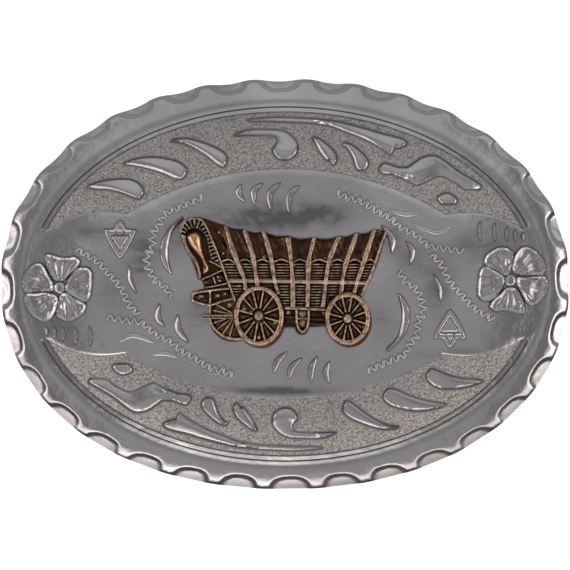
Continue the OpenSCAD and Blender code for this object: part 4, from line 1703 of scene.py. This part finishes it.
@dataclass
class WagonCasting:
    """The covered wagon: a low cast relief in antiqued brass, fixed to the middle of the face."""

    seat_z: float = 9.6
    backing: float = 0.7
    front_hub: Point = (-4.2, -5.1)
    front_size: Point = (3.95, 4.75)
    rear_hub: Point = (10.05, -5.55)
    rear_size: Point = (3.58, 4.15)
    spokes: int = 12
    spoke_turn: float = 0.04
    hem_y: float = 4.2
    lean: float = 0.045
    gather: float = 0.62
    brass: bpy.types.Material | None = None
    patina: bpy.types.Material | None = None
    bright: bpy.types.Material | None = None
    webbing: bpy.types.Material | None = None

    def __post_init__(self) -> None:
        """Works out the heights that the parts share."""
        self.base = self.seat_z + self.backing - 0.05
        self.bow_lines = [smooth(b, steps=4) for b in BOWS]

    def flat(self, z: float) -> Ground:
        """Makes a level ground at a height above the backing."""
        return lambda x, y: self.base + z

    def _cover_height(self, xy: Floats, gap: Floats) -> Floats:
        """Gives the height of the cloth: held up by the bows and sagging between them.

        Args:
            xy: plan points, one a row.
            gap: their distances from the hem, which every relief is given and the cloth leaves out.

        Returns:
            A height for each point.
        """
        nearest = np.full(len(xy), FAR)
        for line in self.bow_lines:
            away, _ = along_path(xy, line, False)
            nearest = np.minimum(nearest, away)
        y = xy[:, 1]
        slack = np.clip(nearest / 1.5, 0, 1)
        top = 1.22 - self.lean * np.clip(y - self.hem_y, 0, None) ** 1.6
        folds = np.array([noise.noise((a * 0.9 + b * 0.35, b * 0.22, 3.0)) for a, b in xy])
        fine = np.array([noise.noise((a * 2.6 + b * 0.9, b * 0.5, 8.0)) for a, b in xy])
        hang = 0.1 * np.exp(-((y - self.hem_y) / 0.5) ** 2)
        return top - 0.62 * slack ** 1.3 + 0.3 * folds + 0.16 * fine + hang

    def cover_z(self, y: float) -> float:
        """Gives the height that a bow lies at."""
        return self.base + 1.2 - self.lean * max(0.0, y - self.hem_y) ** 1.6

    def _cover(self) -> None:
        """Casts the cloth cover with its sags between the bows."""
        bm = bmesh.new()
        top = smooth(COVER_TOP, steps=3)
        hem = straight(((14.8, 3.6), (12.6, 3.75), (9.8, 3.75), (7.1, 3.8), (3.9, 3.8), (1, 3.9),
                        (-2.2, 4), (-5.1, 4.05), (-7.8, 4.1), (-10.4, 3.9), (-11.5, 6.4), (-12.6, 9)))
        Patch(top + hem, self.flat(0), rise=0.0, wall=0.12, crown=0.5, pitch=0.22,
              relief=self._cover_height).build(bm)
        finish_piece("cover_cloth", bm, self.patina, replaced=("wagon_cover",), crease=60)

    def _ruffle(self) -> None:
        """Casts the gathered edge of the cloth round the mouth, and the strip down its left side."""
        bm = bmesh.new()
        outer = smooth(((-16.75, 8.3), (-16.6, 9.25), (-15.7, 10.3), (-14.55, 10.6), (-13.3, 10.3),
                        (-12.7, 9.3), (-11.8, 7.4), (-10.75, 4.75), (-10.1, 2.9)), steps=5)
        inner = smooth(((-11.9, 3.9), (-12.3, 5.3), (-12.6, 7.2), (-13.35, 8.5), (-14.55, 8.95),
                        (-15.5, 8.7), (-15.95, 8.05)), steps=5)
        middle = smooth(((-16.3, 8.2), (-16.05, 8.95), (-15.4, 9.6), (-14.5, 9.8), (-13.3, 9.35),
                         (-12.55, 8), (-12, 6), (-11.3, 4.3), (-10.9, 3.4)), steps=6)

        def pleats(xy: Floats, gap: Floats) -> Floats:
            """Gives the height of the gathers from each point's place and distance from the edge."""
            _, travel = along_path(xy, middle, False)
            fold = 0.2 * np.sign(np.sin(travel * 2 * math.pi / self.gather)) * np.clip(gap / 0.35, 0, 1)
            return 1.05 + fold + 0.1 * np.clip(1 - gap / 0.3, 0, 1)

        Patch(outer + inner, self.flat(0), rise=0.0, wall=0.1, crown=0.5, pitch=0.13,
              relief=pleats).build(bm)
        strip = smooth(((-16.75, 8), (-16.3, 6.2), (-15.6, 4.8), (-14.7, 3.6), (-14.1, 2.2), (-13.9, 0.9),
                        (-13.3, 0.9), (-13.5, 2.3), (-14.1, 3.9), (-15, 5.2), (-15.6, 6.4), (-15.9, 7.9)),
                       True, 4)
        Patch(strip, self.flat(0), rise=0.85, wall=0.12, crown=0.4, pitch=0.2).build(bm)
        ridge(bm, self.flat(1.05),
              ((-16.7, 8.3), (-16.55, 9.2), (-15.7, 10.25), (-14.55, 10.55), (-13.4, 10.25),
                                    (-12.7, 9.3), (-11.8, 7.3), (-10.75, 4.75), (-9.95, 2.6), (-9, 0),
                                    (-7.95, -2.7)), 0.22, 0.28, ends=(0.6, 0.9))
        finish_piece("gathered_edge", bm, self.brass, crease=50)

    def _mouth(self) -> None:
        """Casts the bulging cloth seen through the open front."""
        bm = bmesh.new()
        outline = smooth(((-15.9, 7.4), (-15.6, 8.1), (-14.75, 8.45), (-13.85, 8.3), (-13.4, 7.6),
                          (-13.25, 6.4), (-13.05, 5), (-12.65, 3.8), (-12.1, 2.9), (-12.2, 1.9),
                          (-13.3, 1.5), (-13.2, 2.8), (-13.5, 4), (-14.4, 5), (-15.3, 6)), True, 4)
        Patch(outline, self.flat(0), rise=1.15, wall=0.12, crown=1.3, edge_share=0.3, pitch=0.2,
              grooves=[smooth(((-13.1, 3.2), (-12.9, 2.4), (-12.8, 1.6)), steps=4)], groove_depth=0.2,
              groove_width=0.14).build(bm)
        ridge(bm, self.flat(0.75), ((-12.1, 3.7), (-11, 3.15), (-10, 2.55)), 0.18, 0.3, ends=(0.8, 0.8))
        finish_piece("mouth_cloth", bm, self.bright, replaced=("cover_mouth",), crease=55)

    def _box(self) -> None:
        """Casts the box side with its slats."""
        bm = bmesh.new()
        side = straight(((-10.4, 3.9), (-8.9, -0.6), (-7.8, -3.2), (-0.2, -4.2), (6.6, -4.2), (12, -2),
                         (14.4, 3.6)))
        Patch(side, self.flat(0), rise=0.7, wall=0.1, crown=0.3, pitch=1.2).build(bm)
        corner = straight(((-12.9, 4.2), (-10.6, 4.4), (-9.4, 1.6), (-13.4, 0.6)))
        Patch(corner, self.flat(0), rise=0.3, wall=0.1, crown=0.3, pitch=0.8).build(bm)
        finish_piece("box_side", bm, self.patina, replaced=("wagon_box",), crease=45)
        bm = bmesh.new()
        for y in (3.15, 2.7, 2.22, 1.76, 1.3, 0.88, -0.35, -0.82, -1.28, -1.75, -2.2, -2.68, -3.15, -3.6):
            left = -10.1 + (3.2 - y) * 0.4
            right = 14.1 - (3.0 - y) * 0.42
            if y < -2.0:
                left, right = -1.0, 7.0
            ridge(bm, self.flat(0.72), ((left, y + 0.02), ((left + right) / 2, y), (right, y - 0.02)), 0.13,
                  0.26, ends=(1, 1), steps=12)
        finish_piece("side_slats", bm, self.brass, crease=45)

    @staticmethod
    def _uneven(seed: float) -> Callable[[float], float]:
        """Makes the uneven width of a hand-cut cast bar."""
        return lambda t: 1 + 0.17 * math.sin(7.3 * t + seed * 2.1) + 0.1 * math.sin(17 * t + seed)

    @staticmethod
    def _uneven_ring(seed: float) -> Callable[[float], float]:
        """Makes the uneven width of a cast felloe, the same where its ends meet."""
        return lambda t: 1 + 0.1 * math.sin(12 * math.pi * t + seed) + 0.07 * math.sin(26 * math.pi * t)

    def _frame(self) -> None:
        """Casts the bows, their staves, the scalloped hem and the rails."""
        bm = bmesh.new()
        for line in self.bow_lines:
            path = [Vector((p.x, p.y, self.cover_z(p.y) - 0.02)) for p in line]
            Bead(path, 0.47, 0.46, ends=(0.9, 0.85), base=0.5, wave=self._uneven(line[0].x)).build(bm)
        ends = [(-10.2, 3.6)] + [(min(b, key=lambda p: abs(p[1] - 3.7))[0],
                                  3.35) for b in BOWS] + [(14.7, 3.3)]
        for a, b in zip(ends, ends[1:]):
            ridge(bm, self.flat(0.98), ((a[0], a[1]), ((a[0] + b[0]) / 2, 3.95), (b[0], b[1])), 0.17, 0.26,
                  ends=(1, 1), steps=7)
        ridge(bm, self.flat(1.08), ((16.25, 8.45), (15.3, 6), (14.6, 3.8), (13.7, 1.4), (12.2, -1.9)),
              0.24, 0.32, ends=(0.8, 0.9))
        ridge(bm, self.flat(1.22), ((-9.1, 0.5), (2, 0.4), (13.3, 0.15)), 0.33, 0.26, ends=(1, 1),
              steps=14)
        ridge(bm, self.flat(1.0), ((0, -3.85), (3, -3.95), (6.6, -4.1)), 0.24, 0.26, ends=(1, 1))
        finish_piece("bows_and_rails", bm, self.brass, replaced=("bow_staves",), crease=60)

    def _disc(self, bm: bmesh.types.BMesh, hub: Point, size: Point, low: float, rise: float,
              pitch: float = 0.4, lumps: float = 0.0) -> None:
        """Adds an oval disc.

        Args:
            bm: the mesh that takes it.
            hub: its middle.
            size: half its width and half its height.
            low: the height of its foot above the backing.
            rise: its height.
            pitch: the size of its grid.
            lumps: the height of the cast lumps between the spokes, or nothing for a plain disc.
        """

        def lump(xy: Floats, gap: Floats) -> Floats:
            """Gives the height of the cast lumps at each place."""
            x, y = (xy - np.array(hub)).T
            turn = np.arctan2(y / size[1], x / size[0])
            far = np.hypot(x / size[0], y / size[1])
            channel = -0.35 * np.exp(-((far - 0.26) / 0.07) ** 2)
            swell = np.clip(np.cos((turn - self.spoke_turn) * self.spokes), 0, 1) ** 0.7
            return lumps * swell * np.exp(-((far - 0.62) / 0.2) ** 2) + channel

        Patch(oval(hub, size, 32), self.flat(low), rise=rise, wall=0.1, crown=0.4, pitch=pitch,
              relief=lump if lumps else None).build(bm)

    def _wheel(self, name: str, hub: Point, size: Point, node: str) -> None:
        """Casts a near wheel: web, felloe, spokes and hub.

        Args:
            name: the piece's name.
            hub: the wheel's middle.
            size: half its width and half its height.
            node: the CAD node that it stands for.
        """
        web = bmesh.new()
        self._disc(web, hub, (size[0] - 0.05, size[1] - 0.05), 0, 1.1, 0.2, 0.42)
        # A lower disc set down and to the right in the same brown brass: partly the casting's thick side,
        # partly a painted shadow under the wheel.
        self._disc(web, (hub[0] + 0.32, hub[1] - 0.5), (size[0], size[1]), -0.62, 0.75, 0.6)
        finish_piece(name + "_web", web, self.webbing, crease=50)
        bm = bmesh.new()
        felloe = oval(hub, (size[0] - 0.33, size[1] - 0.33), 36)
        ring = [Vector((p.x, p.y, self.base + 1.5)) for p in felloe]
        Bead(ring, 0.4, 0.42, closed=True, base=0.9, sides=9, wave=self._uneven_ring(hub[0])).build(bm)
        for k in range(self.spokes):
            turn = 2 * math.pi * (k + 0.5) / self.spokes + self.spoke_turn
            reach = Vector(((size[0] - 0.4) * math.cos(turn), (size[1] - 0.4) * math.sin(turn), 0))
            foot = Vector((*hub, self.base + 1.48))
            points = [foot + reach * t for t in (0.29, 0.45, 0.7, 1.0)]
            Bead(points, 0.17, 0.24, ends=(0.8, 1.05), base=0.5).build(bm)
        self._disc(bm, hub, (0.84, 0.86), 0.9, 1.48, 0.25)
        finish_piece(name, bm, self.brass, replaced=(node,), crease=50)

    def _off_wheel(self) -> None:
        """Casts the far front wheel, seen behind the near one."""
        bm = bmesh.new()
        hub = (-7.9, -5)
        rim = smooth(((-12, -3.6), (-12.05, -5), (-11.9, -6.2), (-11.1, -7.4), (-9.7, -8.45),
                      (-8.2, -8.8), (-6.8, -8.7)), steps=6)
        web = bmesh.new()
        self._disc(web, hub, (3.9, 3.75), 0, 0.55, 0.35, 0.1)
        finish_piece("far_wheel_web", web, self.webbing, crease=50)
        Bead([Vector((p.x, p.y, self.base + 0.7)) for p in rim], 0.26, 0.3, ends=(0.8, 1),
             base=0.7).build(bm)
        for degrees in (150, 168, 200, 218, 236, 254):
            turn = math.radians(degrees)
            ends = [Vector((hub[0] + r * math.cos(turn), hub[1] + r * 0.97 * math.sin(turn),
                            self.base + 0.68))
                    for r in (0.6, 2.2, 3.7)]
            Bead(ends, 0.15, 0.2, ends=(1, 1), base=0.5).build(bm)
        finish_piece("far_wheel", bm, self.brass, replaced=("off_wheel",), crease=50)

    def _front(self) -> None:
        """Casts the driver's seat, the jockey box and the tongue."""
        bm = bmesh.new()
        seat = straight(((-13.3, 0.75), (-10.1, 2.25), (-9, 0.1), (-12.6, -0.7)))
        panels = bmesh.new()
        Patch(seat, self.flat(0), rise=0.5, wall=0.1, crown=0.3, pitch=0.6).build(panels)
        for line in (((-13.3, 0.75), (-11.6, 1.5), (-10.05, 2.25)),
                     ((-12.7, -0.6), (-10.9, -0.25), (-9, 0.15))):
            ridge(bm, self.flat(0.65), line, 0.17, 0.32, ends=(0.9, 0.9))
        for line in (((-12.9, 0.2), (-12.3, 0.4)), ((-11.5, 1.1), (-11.15, 0.1)),
                     ((-10.9, 1.2), (-10.3, 0.9)), ((-10.7, 0.6), (-10.2, 0.5))):
            ridge(bm, self.flat(0.6), line, 0.15, 0.3, ends=(1, 1), steps=2)
        finish_piece("seat_of_driver", bm, self.brass, replaced=("driver_seat",), crease=50)

        bm = bmesh.new()
        box = straight(((-14.8, -1.35), (-12, -0.9), (-9, -0.6), (-8, -2.5), (-11.8, -3.4),
                        (-14.8, -2.7)))
        Patch(box, self.flat(0), rise=0.6, wall=0.1, crown=0.3, pitch=0.6).build(panels)
        finish_piece("front_panels", panels, self.patina, crease=50)
        for line in (((-14.75, -1.5), (-12, -1.05), (-9.05, -0.75)),
                     ((-14.8, -2.7), (-13.2, -3.2), (-11.9, -3.45)),
                     ((-11.9, -3.4), (-10, -2.75), (-8.2, -2.35)),
                     ((-12.05, -1.1), (-12, -2.2), (-12, -3.3)),
                     ((-14.75, -1.5), (-14.85, -2.1), (-14.8, -2.7))):
            ridge(bm, self.flat(0.78), line, 0.2, 0.36, ends=(1, 1))
        studs = bmesh.new()
        for x, y, half in ((-13.5, -2.05, 0.5), (-10.95, -1.95, 0.48), (-9.65, -1.65, 0.45),
                           (-12.35, 0.25, 0.36), (-10.6, 0.85, 0.36)):
            square = straight([(x + half * a, y + half * 0.8 * b)
                               for a, b in ((-1, -1), (1, -0.8), (1, 1.1), (-1, 0.9))])
            Patch(square, self.flat(0.5), rise=0.6, wall=0.08, crown=0.3, edge_share=0.8, pitch=0.3,
                  outline_dark=0.0).build(studs)
        finish_piece("chest_studs", studs, self.bright, crease=50)
        ridge(bm, self.flat(0.7), ((-14.2, -2), (-13.6, -2.6), (-12.5, -2.7)), 0.1, 0.15)
        finish_piece("jockey_chest", bm, self.brass, replaced=("jockey_box",), crease=50)

        bm = bmesh.new()
        for y, half in ((-5.1, 0.2), (-5.5, 0.14)):
            ridge(bm, self.flat(0.85), ((-13.3, y), (-11, y + 0.02), (-8.2, y + 0.04)), half, 0.3,
                  ends=(0.7, 1), steps=6)
        finish_piece("tongue_bar", bm, self.brass, replaced=("wagon_tongue",), crease=50)

    def _underneath(self) -> None:
        """Casts the tar bucket and the gear between the wheels."""
        bm = bmesh.new()
        loop = smooth(((1.85, -4.1), (1.85, -5.4), (1.95, -6.5), (2.3, -7.3), (2.8, -7.65), (3.35, -7.3),
                       (3.7, -6.4), (3.8, -5.3), (3.8, -4.1)), steps=5)
        Bead([Vector((p.x, p.y, self.base + 1.1)) for p in loop], 0.22, 0.32, base=0.9).build(bm)
        ridge(bm, self.flat(1.0), ((1.9, -5.55), (2.8, -5.55), (3.8, -5.55)), 0.15, 0.26, ends=(1, 1))
        belly = [Vector((p.x, p.y)) for p in loop]
        Patch(belly, self.flat(0), rise=0.75, wall=0.1, crown=0.5, pitch=0.3).build(bm)
        finish_piece("tar_pail", bm, self.brass, replaced=("tar_bucket",), crease=50)
        bm = bmesh.new()
        gear = straight(((-0.4, -4.1), (6.8, -4.1), (6.7, -6.5), (4.2, -6.7), (1.8, -6.5), (-0.2, -6.4)))
        Patch(gear, self.flat(0), rise=0.35, wall=0.1, crown=0.3, pitch=0.5).build(bm)
        ridge(bm, self.flat(0.5), ((3.8, -5.6), (5.3, -5.65), (6.8, -5.7)), 0.26, 0.34, ends=(1, 1))
        ridge(bm, self.flat(0.35), ((4, -6.3), (5.3, -6.45), (6.6, -6.4)), 0.2, 0.24, ends=(1, 1))
        ridge(bm, self.flat(0.5), ((-0.2, -5.2), (0.8, -5.3), (1.8, -5.3)), 0.2, 0.2, ends=(1, 1))
        finish_piece("reach_and_gear", bm, self.patina, replaced=("running_gear",),
                     crease=50)

    def _nodules(self) -> None:
        """Casts the small bright nodules that bubbles in the mould left on the wagon."""
        bm = bmesh.new()
        for x, y, z, size in NODULES:
            Patch(oval((x, y), (size, size), 7), self.flat(z), rise=size, wall=0.05, crown=size,
                  edge_share=0.3, pitch=1.0, sink=0.75, outline_dark=0.0).build(bm)
        finish_piece("cast_nodules", bm, self.bright, crease=60)

    def build(self) -> None:
        """Casts every part of the wagon."""
        self._cover()
        self._ruffle()
        self._mouth()
        self._box()
        self._frame()
        self._wheel("near_front_wheel", self.front_hub, self.front_size, "front_wheel")
        self._wheel("near_rear_wheel", self.rear_hub, self.rear_size, "rear_wheel")
        self._off_wheel()
        self._front()
        self._underneath()
        self._nodules()


# ---------- back hardware and studio


@dataclass
class Hardware:
    """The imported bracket, bail, hook, washers and wagon backing, which keep their own shapes."""

    nodes: dict[str, bpy.types.Object]

    def dress(self, finishes: dict[str, bpy.types.Material]) -> None:
        """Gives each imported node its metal.

        Args:
            finishes: a material for each node's name.
        """
        for name, material in finishes.items():
            node = self.nodes[name]
            for place in node.material_slots:
                place.link = "OBJECT"
                place.material = material
            log.info("%s: dressed as %s", name, material.name)


@dataclass
class SolderSeams:
    """The soft solder that holds the bracket's foot and the hook's base to the back of the plate."""

    back_z: float = 8.3
    foot: tuple[float, float, float] = (9.42, 17.42, 11.0)
    hook_x: float = -25.0
    hook_base: float = 3.4
    width: float = 0.55
    rise: float = 0.5

    def _seam(self, bm: bmesh.types.BMesh, line: Sequence[Vector]) -> None:
        """Adds one closed seam on the underside.

        Args:
            bm: the mesh that takes it.
            line: the seam's corners.
        """
        part = bmesh.new()
        path = [Vector((p.x, p.y, -self.back_z)) for p in line]

        def by_hand(t: float) -> float:
            """Gives the uneven width of hand soldering."""
            return 1 + 0.16 * math.sin(10 * math.pi * t) + 0.1 * math.sin(34 * math.pi * t)

        Bead(path, self.width, self.rise, closed=True, base=0.02, wave=by_hand).build(part)
        bmesh.ops.scale(part, vec=(1, 1, -1), verts=part.verts)
        bmesh.ops.recalc_face_normals(part, faces=part.faces)
        absorb(bm, part)

    def build(self, finish: bpy.types.Material) -> bpy.types.Object:
        """Runs the seams round the foot and round the hook's base.

        Args:
            finish: the solder.

        Returns:
            Both seams as one piece.
        """
        bm = bmesh.new()
        left, right, half = self.foot
        corners_of_foot = ((left, -half), (right, -half), (right, half), (left, half))
        sides = zip(corners_of_foot, corners_of_foot[1:] + corners_of_foot[:1])
        line = [Vector(a).lerp(Vector(b), k / 16) for a, b in sides for k in range(16)]
        self._seam(bm, line)
        self._seam(bm, oval((self.hook_x, 0.0), (self.hook_base, self.hook_base), 32))
        return finish_piece("solder_seams", bm, finish, crease=60)


@dataclass
class Studio:
    """A pale floor, soft side lights and a camera that looks straight down on the face."""

    lens_mm: float = 250.0
    distance: float = 0.641
    aim_z: float = 0.0055
    centre_y: float = -0.00016

    def build(self) -> None:
        """Makes the floor, the world, the lights and the camera."""
        self._floor()
        self._world()
        for name, place, size, power, tint in (
                ("key_front", (-0.08, -0.60, 0.36), 0.5, 0.4, (1.0, 0.93, 0.91)),
                ("left_box", (-0.60, 0.03, 0.34), 0.42, 0.4, (1.0, 0.93, 0.91)),
                ("right_box", (0.60, -0.08, 0.34), 0.42, 0.4, (1.0, 0.93, 0.91))):
            self._softbox(name, place, size, power, tint)
        data = bpy.data.cameras.new("overhead")
        data.lens = self.lens_mm
        data.sensor_width = 36.0
        data.clip_start = 0.01
        camera = bpy.data.objects.new("overhead", data)
        camera.location = (0.0, self.centre_y, self.aim_z + self.distance)
        bpy.context.scene.collection.objects.link(camera)
        bpy.context.scene.camera = camera
        view = bpy.context.scene.view_settings
        view.view_transform = "Standard"
        view.look = "None"

    def _softbox(self, name: str, place: tuple[float, float, float], size: float, power: float,
                 tint: tuple[float, float, float]) -> None:
        """Hangs one square softbox that faces the buckle.

        Args:
            name: the light's name.
            place: where it hangs, in metres.
            size: the length of its side.
            power: its power in watts.
            tint: its colour.
        """
        data = bpy.data.lights.new(name, "AREA")
        data.shape = "SQUARE"
        data.size = size
        data.energy = power
        data.color = tint
        light = bpy.data.objects.new(name, data)
        light.location = place
        light.rotation_euler = (Vector((0, 0, 0.008)) - Vector(place)).to_track_quat("-Z", "Y").to_euler()
        bpy.context.scene.collection.objects.link(light)

    def _floor(self) -> None:
        """Lays the plain floor: pale to the camera, and greyer where the metal mirrors it."""
        bm = bmesh.new()
        bmesh.ops.create_grid(bm, x_segments=1, y_segments=1, size=1.5)
        mesh = bpy.data.meshes.new("floor")
        bm.to_mesh(mesh)
        bm.free()
        material = bpy.data.materials.new("white_paper")
        material.use_nodes = True
        tree = material.node_tree
        tree.nodes.clear()
        w = Wiring(tree)
        path = w.node("LightPath")
        paper = w.node("BsdfDiffuse")
        paper.inputs["Color"].default_value = (0.9, 0.9, 0.9, 1)
        glow = w.node("Emission")
        glow.inputs["Color"].default_value = (1, 1, 1, 1)
        glow.inputs["Strength"].default_value = 0.85
        both = w.node("AddShader")
        w.join(paper.outputs[0], both.inputs[0])
        w.join(glow.outputs[0], both.inputs[1])
        grey = w.node("BsdfDiffuse")
        place = w.node("SeparateXYZ")
        w.join(w.place(), place.inputs[0])
        w.join(w.blend(w.ramp(place.outputs[1], -0.02, 0.05), (0.12, 0.117, 0.114, 1),
                       (0.55, 0.55, 0.55, 1)),
               grey.inputs["Color"])
        pick = w.node("MixShader")
        w.join(path.outputs["Is Camera Ray"], pick.inputs[0])
        w.join(grey.outputs[0], pick.inputs[1])
        w.join(both.outputs[0], pick.inputs[2])
        w.join(pick.outputs[0], w.node("OutputMaterial").inputs["Surface"])
        mesh.materials.append(material)
        floor = bpy.data.objects.new("floor", mesh)
        bpy.context.scene.collection.objects.link(floor)
        floor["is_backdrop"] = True

    def _world(self) -> None:
        """Fills the room: grey walls that darken low down, a belt of light in front and dark ends."""
        world = bpy.data.worlds.new("tent")
        world.use_nodes = True
        bpy.context.scene.world = world
        tree = world.node_tree
        w = Wiring(tree)
        split = w.node("SeparateXYZ")
        w.join(w.node("TexCoord").outputs["Generated"], split.inputs[0])
        low = w.ramp(split.outputs[2], 0.02, 0.4)
        high = w.ramp(split.outputs[2], 0.975, 0.9998)
        up = split.outputs[2]
        belt = w.sum("MULTIPLY", w.ramp(up, 0.14, 0.32), w.ramp(up, 0.57, 0.7, 1.0, 0.0))
        side = w.ramp(split.outputs[1], 0.08, 0.42, 1.0, 0.0)
        back = w.ramp(split.outputs[1], -0.05, 0.3)
        ends = w.sum("MULTIPLY", w.ramp(w.sum("ABSOLUTE", split.outputs[0]), 0.22, 0.45),
                     w.ramp(up, 0.6, 0.78))
        wall = w.blend(back, (0.37, 0.36, 0.36, 1.0), (0.5, 0.495, 0.51, 1.0))
        wall = w.blend(w.sum("MULTIPLY", ends, 0.8), wall, (0.11, 0.105, 0.108, 1.0))
        tone = w.blend(low, w.blend(back, (0.05, 0.048, 0.046, 1.0), (0.22, 0.22, 0.225, 1.0)), wall)
        tone = w.blend(w.sum("MULTIPLY", belt, side), tone, (1.3, 1.2, 1.17, 1.0))
        stain = w.node("TexNoise")
        w.join(w.node("TexCoord").outputs["Generated"], stain.inputs["Vector"])
        stain.inputs["Scale"].default_value = 16.0
        high = w.sum("MULTIPLY", high, w.ramp(stain.outputs["Fac"], 0.35, 0.62, 0.15, 1.0))
        tone = w.blend(high, tone, (0.33, 0.324, 0.33, 1.0))
        sky = tree.nodes["Background"]
        w.join(tone, sky.inputs["Color"])
        sky.inputs["Strength"].default_value = 1.0


def corners(bounds: object) -> object:
    """Turns nested vectors into plain lists."""
    if isinstance(bounds, (int, float)):
        return float(bounds)
    return [corners(b) for b in bounds]


def main() -> None:
    """Builds the buckle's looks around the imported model."""
    logging.basicConfig(level=logging.INFO, format="%(name)s: %(message)s")
    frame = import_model()
    packed = corners(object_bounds())
    Studio().build()
    shared = SharedEffects()
    silver, matted, back = (f.make(shared) for f in (SILVER, MATTED, BACK))
    brass, dark_brass, web_brass = (f.make(shared) for f in (BRASS, DARK_BRASS, WEB_BRASS))
    mouth_brass = MOUTH_BRASS.make(shared)
    steel, washer, solder = (f.make(shared) for f in (STEEL, WASHER, SOLDER))
    form = PlateForm()
    bands = BandShape(form)
    StruckPlate(form, bands).build(silver, back)
    StippledGround(form, bands).build(matted)
    Foliage(form, bands).build(silver)
    Rosettes(form).build(silver)
    FieldMarks(form).build(silver)
    WagonCasting(brass=brass, patina=dark_brass, bright=mouth_brass, webbing=web_brass).build()
    SolderSeams().build(solder)
    Hardware(frame["nodes"]).dress({
        "wagon_backing": dark_brass, "post_washer_front": washer, "post_washer_rear": washer,
        "bail_bracket": steel, "bail_loop": steel, "belt_hook": steel})
    {"packed": packed, "visual": corners(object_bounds())}


if __name__ == "__main__":
    main()
